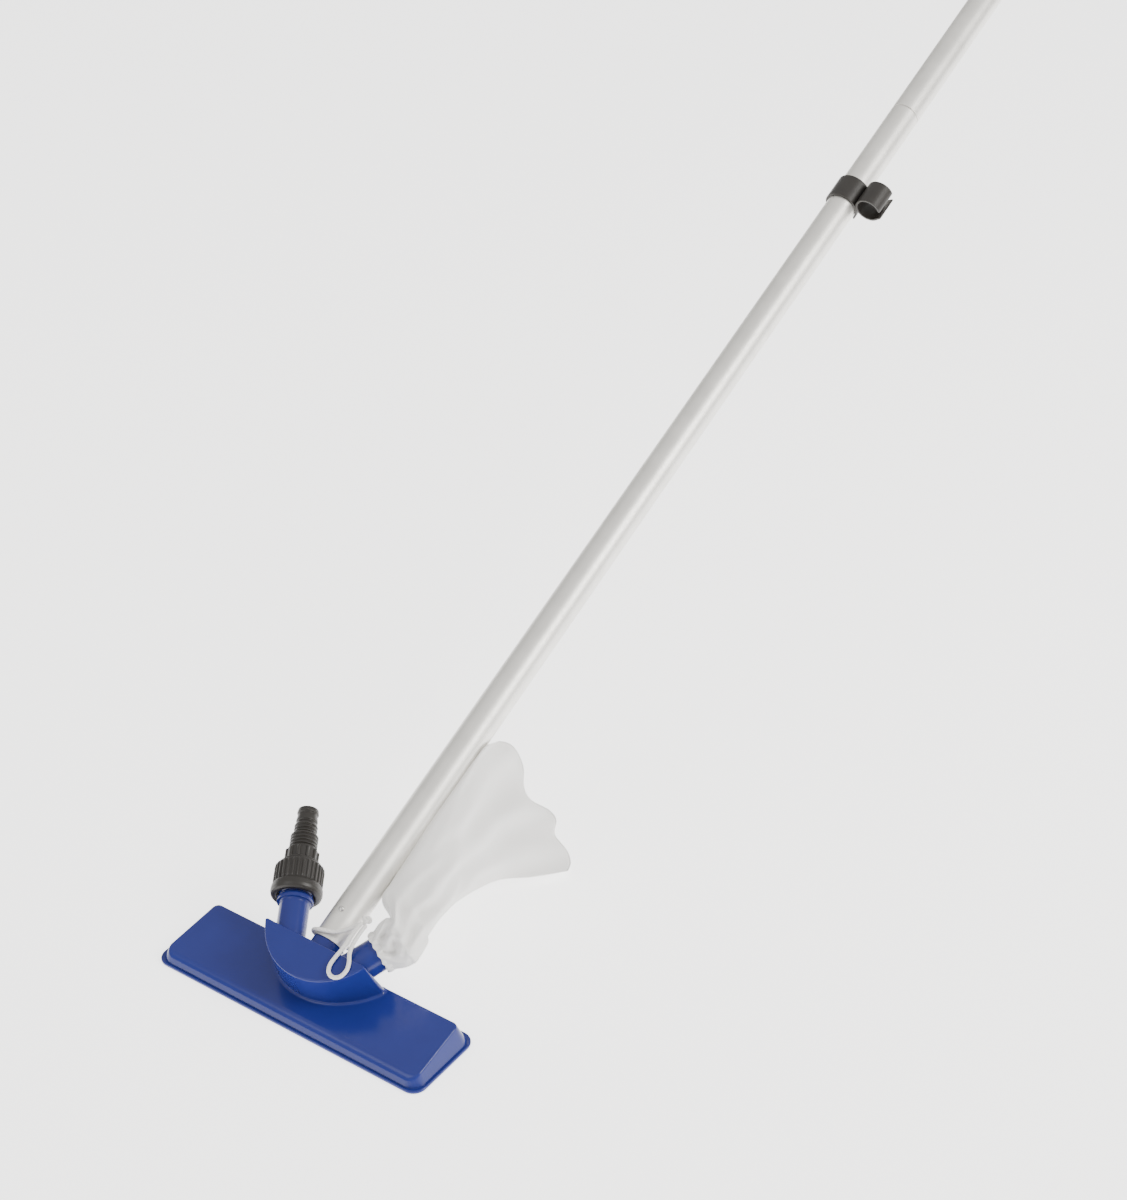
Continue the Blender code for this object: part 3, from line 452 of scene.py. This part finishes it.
# %% Knot
KNOT_STEPS, KNOT_SIZE = 72, 1.25
knot_centre = beside(*KNOT_PLACE)
knot_line = []
for i in range(KNOT_STEPS + 1):
    a = TAU * i / KNOT_STEPS
    x = math.sin(a) + 1.6 * math.sin(2 * a)
    y = math.cos(a) - 1.6 * math.cos(2 * a)
    local = Vector((x, y, -1.1 * math.sin(3 * a)))
    knot_line.append(knot_centre + (beside(*(local * KNOT_SIZE)) - beside(0, 0, 0)))
knot = tube("Drawstring knot", knot_line, CORD_RADIUS * 0.93, CORD)
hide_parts("drawstring_wrap")
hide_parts("drawstring_loop")
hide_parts("drawstring_knot")

# %% [markdown]
# ## The head: tray
# The tray is a shallow wedge, lower at the front, with a flat flange all round and a soft edge on top.
# It is a thin shell, open below, so one skin runs up the outside, over the top, and is closed again on
# the inside. Rings near the top edge follow a quarter circle, which is what makes the edge glow.

# %% Tray skin
LENGTH, DEPTH = 290.0, 81.0
FLANGE, FLANGE_WIDTH, WALL, DRAFT = 3.0, 2.7, 2.5, 0.43
FRONT, BACK = 12.0, 21.0
front_y = -DEPTH / 2 + FLANGE_WIDTH + DRAFT * (FRONT - FLANGE)
back_y = DEPTH / 2 - FLANGE_WIDTH - DRAFT * (BACK - FLANGE)
SLOPE = (BACK - FRONT) / (back_y - front_y)
LEVEL = FRONT - SLOPE * front_y


def rounded_box(half_x, half_y, radius, steps=10, run=8):
    """Points and outward normals of a rounded rectangle, with extra points along its sides."""
    corners = []
    for sx, sy, start in ((1, 1, 0), (-1, 1, 90), (-1, -1, 180), (1, -1, 270)):
        for k in range(steps + 1):
            a = math.radians(start + 90 * k / steps)
            n = Vector((math.cos(a), math.sin(a)))
            corners.append((Vector((sx * (half_x - radius), sy * (half_y - radius))) + n * radius, n))
    result = []
    for i, (p, n) in enumerate(corners):
        result.append((p, n))
        q = corners[(i + 1) % len(corners)][0]
        if (i + 1) % (steps + 1) == 0:
            result += [(p.lerp(q, k / run), n) for k in range(1, run)]
    return result


def tray_ring(inset, z=None, drop=0.0, corner=13, turn=None):
    """Ring on the tray: level at z, at a drop under its top plane, or part way round its top edge."""
    ring = []
    if z is not None:
        level = rounded_box(LENGTH / 2 - inset, DEPTH / 2 - inset, corner)
        return [Vector((p.x, p.y, z)) * MM for p, n in level]
    in_by = FLANGE_WIDTH + inset
    for p, n in rounded_box(LENGTH / 2 - in_by, DEPTH / 2 - in_by, corner - inset):
        if turn is not None:
            edge = 1.2 + 2.6 * max(0.0, -n.y) ** 2
            p = p - n * edge * (1 - math.cos(turn))
            drop = edge * (1 - math.sin(turn))
        lean = DRAFT * n.y * SLOPE
        height = (LEVEL - drop + SLOPE * p.y + lean * FLANGE) / (1 + lean)
        place = p - n * DRAFT * (height - FLANGE)
        ring.append(Vector((place.x, place.y, height)) * MM)
    return ring


def between(a, b, t):
    return [p.lerp(q, t) for p, q in zip(a, b)]


quarter = [math.radians(90 * k / 6) for k in range(7)]
foot = tray_ring(FLANGE_WIDTH, z=FLANGE)
shoulder = tray_ring(0, turn=0.0)
lip = ((0.8, 0.0), (0.2, 0.25), (0, 0.9), (0, 2.1), (0.2, 2.7), (0.8, 3.05), (1.5, 2.9), (2.1, 2.45),
       (2.6, 2.5))
tray_rings = [tray_ring(FLANGE_WIDTH + WALL, z=0.0, corner=10.5)]
tray_rings += [tray_ring(inset, z=rise, corner=12.3) for inset, rise in lip]
tray_rings += [
              between(foot, shoulder, 0.08), between(foot, shoulder, 0.5), between(foot, shoulder, 0.95)]
tray_rings += [tray_ring(0, turn=a) for a in quarter]
inner_top = tray_ring(WALL + 1, drop=WALL)
inner_foot = tray_ring(FLANGE_WIDTH + WALL, z=FLANGE, corner=10.5)
tray_rings = [inner_top, between(inner_top, inner_foot, 0.9)] + tray_rings
tray = skin("Head tray", tray_rings, BLUE, sharp=50)

# %% [markdown]
# ## The head: jet housing
# On the tray sits a half-round housing with a flat face, tilted back with the pole. Its sides flare out
# a little towards the tray, and a small fillet runs round the foot. Each ring follows the same
# outline. The lowest rings bend from the wall on to the tray's plane, as a moulded fillet does.

# %% Housing skin
FACE, RIM, RIM_CENTRE, FACE_BACK = 20.0, 61.0, 45.5, 19.0
half = math.acos((RIM_CENTRE - FACE_BACK) / RIM)
ARC_STEPS, BACK_STEPS, HORN_RADIUS = 90, 24, 3.2
arc = []
for k in range(ARC_STEPS + 1):
    a = -half + 2 * half * k / ARC_STEPS
    arc.append((RIM * math.sin(a), RIM_CENTRE - RIM * math.cos(a)))
arc += [(arc[-1][0] * (1 - 2 * k / BACK_STEPS), FACE_BACK) for k in range(1, BACK_STEPS)]
outline = []
for index, point in enumerate(arc):
    if index in (0, ARC_STEPS):
        back = Vector(arc[1 if index == 0 else ARC_STEPS - 1]) - Vector(point)
        level = Vector((-math.copysign(1, point[0]), 0))
        turn = [k / 8 for k in range(9)] if index == ARC_STEPS else [1 - k / 8 for k in range(9)]
        outline += [Vector(point) + back.normalized() * HORN_RADIUS * (1 - t) ** 2
                    + level * HORN_RADIUS * t ** 2 for t in turn]
    else:
        outline.append(Vector(point))
outline = [p for i, p in enumerate(outline) if (p - outline[i - 1]).length > 0.05]
plane_normal = Vector((0, -SLOPE, 1)).normalized()
plane_point = Vector((0, 0, LEVEL)) * MM


def housing_rings():
    """Rings from the middle of the face, over its rounded rim, down the wall and on to the tray."""
    count = len(outline)
    spokes = []
    for i, p in enumerate(outline):
        run = (outline[(i + 1) % count] - outline[i - 1]).normalized()
        n = Vector((-run.y, run.x))
        if n.dot(p - Vector((0, 15))) < 0:
            n = -n
        behind = max(0.0, n.y) ** 2
        flare = math.tan(math.radians(7 * (1 - behind) + 3.5 * behind))
        top = beside(p.x, p.y, FACE)
        down = (beside(p.x + n.x * flare, p.y + n.y * flare, FACE - 1) - top).normalized()
        reach = (plane_point - top).dot(plane_normal) / down.dot(plane_normal)
        land = top + down * reach
        level = beside(p.x + n.x, p.y + n.y, FACE) - top
        level = (level - plane_normal * level.dot(plane_normal)).normalized()
        fillet = (3.0 * (1 - behind) + 0.6 * behind) * MM
        spoke = []
        horn = min((p - Vector((side * 55, FACE_BACK))).length for side in (-1, 1))
        rim = 1.5 * max(0.3, min(1.0, horn / 9)) * MM
        flat = beside(p.x - n.x, p.y - n.y, FACE) - top
        for k in (6, 5, 4, 3, 2, 1, 0):
            a = math.radians(90 * k / 6)
            inward = rim * (1 - math.cos(a))
            spoke.append(top + flat / flat.length * inward + down * rim * (1 - math.sin(a)))
        spoke.append(top + down * (reach - fillet) * 0.5)
        for k in range(7):
            a = math.radians(90 * k / 6)
            spoke.append(land - down * fillet * (1 - math.sin(a)) + level * fillet * (1 - math.cos(a)))
        spoke.append(land + level * fillet - plane_normal * 0.6 * MM)
        spokes.append(spoke)
    return [[spoke[k] for spoke in spokes] for k in range(len(spokes[0]))]


housing = skin("Jet housing", housing_rings(), BLUE, sharp=50)

# %% [markdown]
# ## The head: inlet, outlet and pole spigot
# Three tubes leave the back of the housing. The left one takes the hose union: it has a collar and a
# coarse thread, mostly hidden in the nut. The right one carries the bag. The middle one is the spigot
# that the pole slips over, and only its shoulder shows.

# %% Tubes of the head
COLLAR, THREAD_ROOT, THREAD_CREST, PITCH, INLET_END = 106.3, 13.6, 14.8, 3, 126.3
thread = []
for k in range(5):
    z = COLLAR + 4.5 + PITCH * k
    thread += [(THREAD_ROOT, z), (THREAD_CREST, z + 1.1), (THREAD_CREST, z + 1.6), (THREAD_ROOT, z + 2.7)]
inlet_outline = [(9.5, 60), (13.25, 60), (13.25, COLLAR - 1.5), (14, COLLAR), (16, COLLAR), (16, COLLAR + 4),
                 (THREAD_ROOT, COLLAR + 4)] + thread + [(THREAD_ROOT, INLET_END), (9.5, INLET_END)]
inlet = lathe("Hose inlet", inlet_outline, INLET, BLUE, edge=0.5)
OUTLET_RADIUS, OUTLET_RIM, OUTLET_END = 15, 16.2, 121
outlet_outline = [(12.5, 60), (OUTLET_RADIUS, 60), (OUTLET_RADIUS, OUTLET_END - 3),
                  (OUTLET_RIM, OUTLET_END - 2), (OUTLET_RIM, OUTLET_END), (12.5, OUTLET_END)]
outlet = lathe("Bag outlet", outlet_outline, OUTLET, BLUE)
spigot_outline = [(10, 12), (14.4, 12), (14.4, 27.6), (13.6, 27.8), (13.6, 74), (12.6, 76), (10, 76)]
spigot = lathe("Pole spigot", spigot_outline, POLE, BLUE)
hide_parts("head_shell")

# %% [markdown]
# ## The hose union
# A black nut with a smooth skirt and fine grip ribs screws on the inlet. Through it passes the hose
# tail: a tube with three steps of barbs, largest first, so that it takes several hose sizes. A turned
# outline gives the nut's body. The ribs repeat, so a small geometry tree copies one bar round it.

# %% Nut and tail
NUT = 111.8
skirt = [(15.1, 3), (17.7, 0), (20.4, 0), (22.2, 1.6), (22.9, 4.5), (22.6, 9), (21.6, 10.5)]
grip = [(20.9, 11), (20.9, 28.0), (20.4, 30), (17.4, 30.4), (17.4, 33.6), (16.2, 33.9), (16.2, 34.4)]
neck = [(13.6, 34.6), (13.6, 46.2), (12.9, 46.9), (12.9, 21.6), (15.1, 21.4)]
nut_outline = [(radius, NUT + height) for radius, height in skirt + grip + neck]
nut = lathe("Union nut", nut_outline, INLET, BLACK, body="nut", edge=0.6)
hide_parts("union_nut")
TAIL, BARBS_FROM = 129.4, 30.4
tail_outline = [(9.5, TAIL), (14.2, TAIL), (14.2, TAIL + 3), (12.4, TAIL + 3), (12.4, TAIL + BARBS_FROM)]
along = TAIL + BARBS_FROM
for crest, length, ridges in ((12.6, 13.5, 4), (10.6, 10.5, 3), (9.8, 16.0, 2)):
    pitch = length / ridges
    for k in range(ridges):
        z = along + k * pitch
        tail_outline += [(crest - 1.3, z + 0.3 * pitch), (crest, z + 0.45 * pitch), (crest - 0.7, z + pitch)]
    along += length
tail_outline += [(6.5, along), (6.5, TAIL + 20)]
tail = lathe("Hose tail", tail_outline, INLET, BLACK, body="tail", edge=0.6)
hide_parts("hose_tail")

# %% [markdown]
# The nut's grip is thirty equal ribs, and its crown has eleven bigger ones, so they are not drawn one
# by one. The tree sweeps a small circle along a short line, with a curve that thins its two ends, then
# puts a copy at every step of a full turn. Its count and sizes are inputs, so one tree makes both.

# %% Grip ribs, repeated by a geometry tree


def ring_of_bars(name, count, radius, start, length, bar, place, material, body):
    """Geometry tree: one rounded bar, copied round an axis, made real and given its material."""
    tree = bpy.data.node_groups.new(name, 'GeometryNodeTree')
    tree.interface.new_socket("Geometry", in_out='OUTPUT', socket_type='NodeSocketGeometry')
    sizes = {}
    for label in ("Count", "Radius", "Start", "Length", "Bar"):
        kind = 'NodeSocketInt' if label == "Count" else 'NodeSocketFloat'
        sizes[label] = tree.interface.new_socket(label, in_out='INPUT', socket_type=kind).identifier
    new, link = tree.nodes.new, tree.links.new
    given = new('NodeGroupInput')
    result = new('NodeGroupOutput')

    def vector(x=None, z=None):
        node = new('ShaderNodeCombineXYZ')
        if x is not None:
            link(x, node.inputs["X"])
        if z is not None:
            link(z, node.inputs["Z"])
        return node.outputs["Vector"]

    top = new('ShaderNodeMath')
    link(given.outputs["Start"], top.inputs[0])
    link(given.outputs["Length"], top.inputs[1])
    line = new('GeometryNodeCurvePrimitiveLine')
    link(vector(given.outputs["Radius"], given.outputs["Start"]), line.inputs["Start"])
    link(vector(given.outputs["Radius"], top.outputs["Value"]), line.inputs["End"])
    fine = new('GeometryNodeResampleCurve')
    fine.inputs["Count"].default_value = 12
    link(line.outputs["Curve"], fine.inputs["Curve"])
    share = new('GeometryNodeSplineParameter')
    arch = new('ShaderNodeFloatCurve')
    points = arch.mapping.curves[0].points
    points[0].location, points[1].location = (0, 0.35), (1, 0.1)
    points.new(0.08, 1.0)
    points.new(0.88, 1.0)
    arch.mapping.update()
    link(share.outputs["Factor"], arch.inputs["Value"])
    circle = new('GeometryNodeCurvePrimitiveCircle')
    circle.inputs["Resolution"].default_value = 12
    link(given.outputs["Bar"], circle.inputs["Radius"])
    sweep = new('GeometryNodeCurveToMesh')
    sweep.inputs["Fill Caps"].default_value = True
    link(fine.outputs["Curve"], sweep.inputs["Curve"])
    link(circle.outputs["Curve"], sweep.inputs["Profile Curve"])
    link(arch.outputs["Value"], sweep.inputs["Scale"])
    places = new('GeometryNodeMeshLine')
    link(given.outputs["Count"], places.inputs["Count"])
    places.inputs["Offset"].default_value = (0, 0, 0)
    index = new('GeometryNodeInputIndex')
    step = new('ShaderNodeMath')
    step.operation = 'DIVIDE'
    step.inputs[0].default_value = TAU
    link(given.outputs["Count"], step.inputs[1])
    turn = new('ShaderNodeMath')
    turn.operation = 'MULTIPLY'
    link(index.outputs["Index"], turn.inputs[0])
    link(step.outputs["Value"], turn.inputs[1])
    copies = new('GeometryNodeInstanceOnPoints')
    link(places.outputs["Mesh"], copies.inputs["Points"])
    link(sweep.outputs["Mesh"], copies.inputs["Instance"])
    link(vector(None, turn.outputs["Value"]), copies.inputs["Rotation"])
    real = new('GeometryNodeRealizeInstances')
    link(copies.outputs["Instances"], real.inputs["Geometry"])
    colour = new('GeometryNodeSetMaterial')
    colour.inputs["Material"].default_value = material
    link(real.outputs["Geometry"], colour.inputs["Geometry"])
    link(colour.outputs["Geometry"], result.inputs["Geometry"])

    carrier = bpy.data.objects.new(name, bpy.data.meshes.new(name))
    scene.collection.objects.link(carrier)
    mod = carrier.modifiers.new(name, 'NODES')
    mod.node_group = tree
    for label, value in (("Count", count), ("Radius", radius * MM), ("Start", start * MM),
                         ("Length", length * MM), ("Bar", bar * MM)):
        mod[sizes[label]] = value
    bpy.context.view_layer.update()
    baked = bpy.data.meshes.new_from_object(carrier.evaluated_get(bpy.context.evaluated_depsgraph_get()))
    carrier.modifiers.clear()
    carrier.data = baked
    baked.transform(place)
    baked.shade_smooth()
    baked.set_sharp_from_angle(angle=math.radians(50))
    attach(carrier, body)
    return carrier


ribs = ring_of_bars("nut_ribs", 30, 20.7, NUT + 10.6, 19.0, 1.25, INLET, BLACK, "nut")
crown = ring_of_bars("crown_ribs", 11, 13.4, NUT + 34.7, 11.6, 1.7, INLET, BLACK, "nut")
print("ribs", len(ribs.data.polygons), "crown", len(crown.data.polygons))

# %% [markdown]
# ## The pole
# Two lengths of drawn aluminium tube. The upper one slips over a narrower neck on the lower one, so a
# fine dark line and a bright lip show where they meet. Its finish has fine noise, not the streaks drawing
# leaves.

# %% Pole sections
TUBE, BORE, FOOT, NECK_TOP, POLE_TOP = 15, 14, 28, 1139, 2058
lower_outline = [(BORE, FOOT), (TUBE, FOOT), (TUBE, 1078.6), (13.7, 1079.1), (13.7, NECK_TOP),
                 (12.7, NECK_TOP), (12.7, 1077), (BORE, 1074)]
upper_outline = [(BORE, 1079.6), (TUBE, 1079.6), (TUBE, POLE_TOP), (BORE, POLE_TOP)]
lower = lathe("Pole, lower section", lower_outline, POLE, ALUMINIUM, edge=0.4, steps=96)
upper = lathe("Pole, upper section", upper_outline, POLE, ALUMINIUM, edge=0.35, steps=96)
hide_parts("pole_lower")
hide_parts("pole_upper")
cap_outline = [(0.01, 2062), (11.7, 2061.6), (16.7, 2059.5), (16.7, 2034), (15.3, 2034), (15.3, 2058.3),
               (0.01, 2058.3)]
cap = lathe("Pole end cap", cap_outline, POLE, BLACK, edge=1.2)
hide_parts("pole_end_cap")

# %% [markdown]
# A steel button pokes through a hole in each joint and locks it: one on top at the pole's foot, one
# below at the section joint. Each is turned round its own axis, square to the pole, with a wide foot
# that stays inside, and rides on its own body, so that it can be pressed.

# %% Snap buttons
SNAPS = (("lower", 56.0, 1, "foot_button"), ("upper", 1107.0, -1, "section_button"))
button_outline = [(0.01, 7.6), (3.6, 7.6), (3.6, 8.5), (2.6, 8.7), (2.6, 15.9), (1.9, 17.0), (0.01, 17.4)]
up_the_pole = (beside(0, 1, 0) - beside(0, 0, 0)).normalized()
for end, along, side, body in SNAPS:
    place = axis(beside(0, along, 0), beside(0, along, side), up=up_the_pole)
    button = lathe("Snap button " + body, button_outline, place, STEEL, body=body, edge=0.7, steps=40)
    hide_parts(end + "_button")

# %% [markdown]
# Each button sits on a folded leaf spring inside the bore. One leg rests on the bore; the other leg lies
# under the button. A rigid spring would be cut by a pressed button, and this strip is one rigid piece,
# built in place and put on no body.

# %% Leaf springs
LEAF_TOP, LEAF_HALF_WIDTH, LEAF_HALF_THICK = 7.2, 3.5, 0.35
fold = [(-24.4, 1.5), (-25.6, 0.9), (-26, 0), (-25.6, -0.9), (-24.4, -1.5)]
LEAF = [Vector(p) for p in [(8, LEAF_TOP), (-6, LEAF_TOP)] + fold + [(-6, -LEAF_TOP), (8, -LEAF_TOP)]]


def leaf_rings(along, side):
    """Rings of a thin strip along the folded path."""
    path = [a.lerp(b, k / 6) for a, b in zip(LEAF, LEAF[1:]) for k in range(6)] + [LEAF[-1]]
    rings = []
    for i, point in enumerate(path):
        run = path[min(i + 1, len(path) - 1)] - path[max(i - 1, 0)]
        out = Vector((-run.y, run.x)).normalized() * LEAF_HALF_THICK
        rings.append([beside(LEAF_HALF_WIDTH * w, along + point.x + k * out.x, side * (point.y + k * out.y))
                      for w, k in ((-1, -1), (1, -1), (1, 1), (-1, 1))])
    return rings


for end, along, side, body in SNAPS:
    leaf = skin("Leaf spring " + body, leaf_rings(along, side), STEEL, sharp=40, body=None)
    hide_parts(end + "_spring")
    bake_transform(leaf)

# %% [markdown]
# ## The hose clip
# A black spring clip: one open ring grips the pole, a smaller one beside it holds the garden hose. The
# section is drawn once, round the pole's axis, and given rounded ends and edges.

# %% Clip
CLIP, CLIP_LENGTH, CLIP_WALL = 956.0, 28.0, 2.4


def open_ring(name, centre, inner, start, stop, lips):
    """C-shaped section swept along the pole with softened edges."""
    steps = 64
    angles = [math.radians(start + (stop - start) * k / steps) for k in range(steps + 1)]
    middle = inner + CLIP_WALL / 2
    rows = []
    for k, a in enumerate(angles):
        flare = lips[0] * max(0, 1 - k / 5) ** 2 + lips[1] * max(0, 1 - (steps - k) / 5) ** 2
        thin = CLIP_WALL / 2 * (0.75 if k in (0, steps) else 1)
        ring = []
        for u, v in soften([(-thin, -CLIP_LENGTH / 2), (thin, -CLIP_LENGTH / 2), (thin, CLIP_LENGTH / 2),
                            (-thin, CLIP_LENGTH / 2)], 0.7):
            r = middle + flare + u
            ring.append(beside(centre[0] + r * math.cos(a), CLIP + v, centre[1] + r * math.sin(a)))
        rows.append(ring)
    return skin(name, rows, BLACK, body="clip", sharp=50)


POLE_RING, HOSE_RING = 15.3, 11.5
bearing = math.radians(8)
reach = POLE_RING + HOSE_RING + 2 * CLIP_WALL - 0.2
hose_centre = (reach * math.cos(bearing), reach * math.sin(bearing))
clip = open_ring("Hose clip, pole ring", (0, 0), POLE_RING, -48, 228, (1.0, 1.0))
open_ring("Hose clip, hose ring", hose_centre, HOSE_RING, 5, 330, (0, 1.6))
web = POLE_RING + CLIP_WALL - 0.1
web_line = [beside(web * math.cos(bearing), CLIP + v, web * math.sin(bearing)) for v in (-12, -6, 0, 6, 12)]
tube("Hose clip, web", web_line, 2.2 * MM, BLACK, body="clip")
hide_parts("hose_clip")

# %% [markdown]
# ## Hidden pieces
# The suction plate, its screws, the jet nozzle and the washer keep their CAD shapes, and only take a
# finish.

# %% Finish the carried-over pieces
HIDDEN = [("suction_plate", BLUE), ("jet_nozzle", BLACK), ("flat_washer", RUBBER)]
HIDDEN += [("plate_screw_%d" % k, STEEL) for k in (1, 2, 3, 4)]
for node, material in HIDDEN:
    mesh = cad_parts[node].data
    mesh.materials.clear()
    mesh.materials.append(material)
    print(node, "takes", material.name)

# %% [markdown]
# ## The net bag
# The bag is a sack of fine white net, gathered on the outlet and lying against the pole's side, with
# its far end drooping to the floor. The net is too fine to see as threads: it reads as a milky veil.
# Its sections are flattened rings, smoothly joined, with folds that fan out from the neck.

# %% Net material
NET = finish("Fine white net", (0.93, 0.92, 0.9), 0.85, scale=1800, bump=0.3)
net_shader = NET.node_tree.nodes["Principled BSDF"]
net_shader.inputs["Alpha"].default_value = 0.84
print(NET.name, "lets through", round(1 - net_shader.inputs["Alpha"].default_value, 2))

# %% [markdown]
# Cloth this light has no shape of its own, so its shape is given. A section is two edges and a half
# thickness, and a smooth curve runs through all of them. Waves round the section make the folds, deep
# at the neck where the cloth is bunched and faint further on. Cloth can't pass through the outlet's
# end, so a point that would is moved out to it. At the far seam the two sides meet and are sewn.

# %% Bag shape
NECK = ((98.5, 16.6), (104, 18.4), (111, 21.5), (118, 22.5), (123.5, 22))  # along the outlet, radius
# Edge beside the pole, edge towards the floor, and half thickness, in world millimetres.
SECTIONS = (((19.5, 76, 70), (67, 76, 41), 21), ((18, 90, 75.5), (58, 86, 36), 20),
            ((18.5, 115, 86.5), (49, 107, 31), 19), ((17.8, 140, 97.5), (42, 131, 26), 17),
            ((17.5, 165, 109), (39, 152, 22), 15), ((17.5, 190, 120), (40, 180, 16.5), 12),
            ((17.5, 212, 130), (46, 207, 11.5), 9), ((17.5, 228, 136), (66, 229, 9), 7),
            ((17.5, 240, 133), (86, 256, 7), 4))
# The far seam, from beside the pole down to the floor: it hangs in three lobes.
SEAM = ((17.5, 240, 133), (15, 254, 125), (16, 267, 114), (21, 271, 104), (28, 270, 90), (33, 263, 76),
        (42, 261, 66), (52, 274, 51), (60, 275, 42), (63, 268, 31), (74, 271, 16), (82, 266, 9), (86, 256, 7))
SIDES, ROWS, SEAM_STEPS = 120, 130, 200
PAST_END = OUTLET_END + 1.5


def clear_of_outlet(place):
    """Cloth that would pass inside the outlet's end lies on its side, or on past its open end."""
    local = OUTLET.inverted() @ place
    room = (17.4 if local.z > 112 * MM else 16.0) * MM
    out = math.hypot(local.x, local.y)
    beyond = PAST_END * MM - local.z
    if local.z < 98 * MM or beyond < 0 or out > room:
        return place
    if beyond < room - out:
        local.z = PAST_END * MM
    else:
        local.x *= room / max(out, 0.1 * MM)
        local.y *= room / max(out, 0.1 * MM)
    return OUTLET @ local


def bag_rings():
    """Rings from the gathered neck to the far seam."""
    uppers, lowers, thicks = [], [], []
    sine, cosine = math.sin(TUBE_ANGLE), math.cos(TUBE_ANGLE)
    across = beside(cosine, -sine, 0) - beside(0, 0, 0)
    rise = beside(0, 0, 1) - beside(0, 0, 0)
    for d, radius in NECK:
        centre = OUTLET @ Vector((0, 0, d * MM))
        tip = (rise * 0.45 - across * 0.9).normalized() * radius * MM
        uppers.append(centre + tip)
        lowers.append(centre - tip)
        thicks.append((rise * 0.9 + across * 0.45).normalized() * -radius * MM)
    for upper_edge, lower_edge, thick in SECTIONS:
        a, b = Vector(upper_edge) * MM, Vector(lower_edge) * MM
        uppers.append(a)
        lowers.append(b)
        thicks.append(-(b - a).cross(Vector((0, 1, 0.3))).normalized() * thick * MM)
    uppers, lowers, thicks = even(uppers, ROWS), even(lowers, ROWS), even(thicks, ROWS)
    seam = even([Vector(p) * MM for p in SEAM], SEAM_STEPS)
    rings = []
    for r, (upper, lower, thick) in enumerate(zip(uppers, lowers, thicks)):
        t = r / ROWS
        pull = max(0.0, (t - 0.72) / 0.28) ** 2
        close = math.sqrt(min(1.0, (1 - t) / 0.04))
        gather = 0.09 * math.exp(-((t - 0.14) / 0.12) ** 2) + 0.035
        ring = []
        for i in range(SIDES):
            a = TAU * i / SIDES
            w = (1 - math.cos(a)) / 2
            end = seam[round(w * SEAM_STEPS)] - uppers[-1].lerp(lowers[-1], w)
            wander = noise.noise(Vector((math.cos(a), math.sin(a), t * 5)) * 2.1)
            ripple = math.sin(9 * a + 3 * math.sin(2.3 * t * TAU)) + 0.5 * math.sin(16 * a + 5 * t * TAU)
            fold = (1 + gather * ripple + 0.35 * wander) * close
            place = upper.lerp(lower, w) + end * pull + thick * math.sin(a) * fold
            lobes = 0.004 * t * close * math.sin(w * 3.2 * TAU + 1.2) * math.sin(a) ** 2
            ring.append(clear_of_outlet(place + thick.normalized() * lobes))
        rings.append(ring)
    return rings


bag = skin("Net bag", bag_rings(), NET, caps=(False, False), sharp=180, weighted=False)
# the two sides meet in the far seam, so the doubled points there are joined
sewn = bmesh.new()
sewn.from_mesh(bag.data)
bmesh.ops.remove_doubles(sewn, verts=sewn.verts, dist=0.02 * MM)
sewn.to_mesh(bag.data)
sewn.free()
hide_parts("debris_bag")

# %% [markdown]
# The mouth of the bag is hemmed and drawn tight on the outlet, so the hem stands in small ruffles. It
# is one small section carried round the outlet, which swells and slides on two waves as it goes. The
# inside stays round, since it sits on the tube.

# %% Bag hem
HEM_BORE, HEM_STEPS = 15.3, 144
hem_section = [(HEM_BORE, 97.6), (17.4, 97.4), (18.2, 100.5), (17.6, 103.2), (HEM_BORE, 103.2)]
ruffles = []
for section in soften(hem_section, 1.0):
    ring = []
    for i in range(HEM_STEPS):
        a = TAU * i / HEM_STEPS
        proud = section.x - HEM_BORE
        swell = proud * (1 + 0.28 * math.sin(13 * a) + 0.16 * math.sin(21 * a + 1))
        slide = 1.1 * math.sin(13 * a + 0.8) * proud / 3
        out = HEM_BORE + swell
        ring.append(OUTLET @ (Vector((math.cos(a) * out, math.sin(a) * out, section.y + slide)) * MM))
    ruffles.append(ring)
HEM = finish("White hem", (0.9, 0.89, 0.87), 0.85, bump=0.3, scale=1500)
hem = skin("Bag hem", ruffles, HEM, joined=True, sharp=80)
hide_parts("bag_hem")
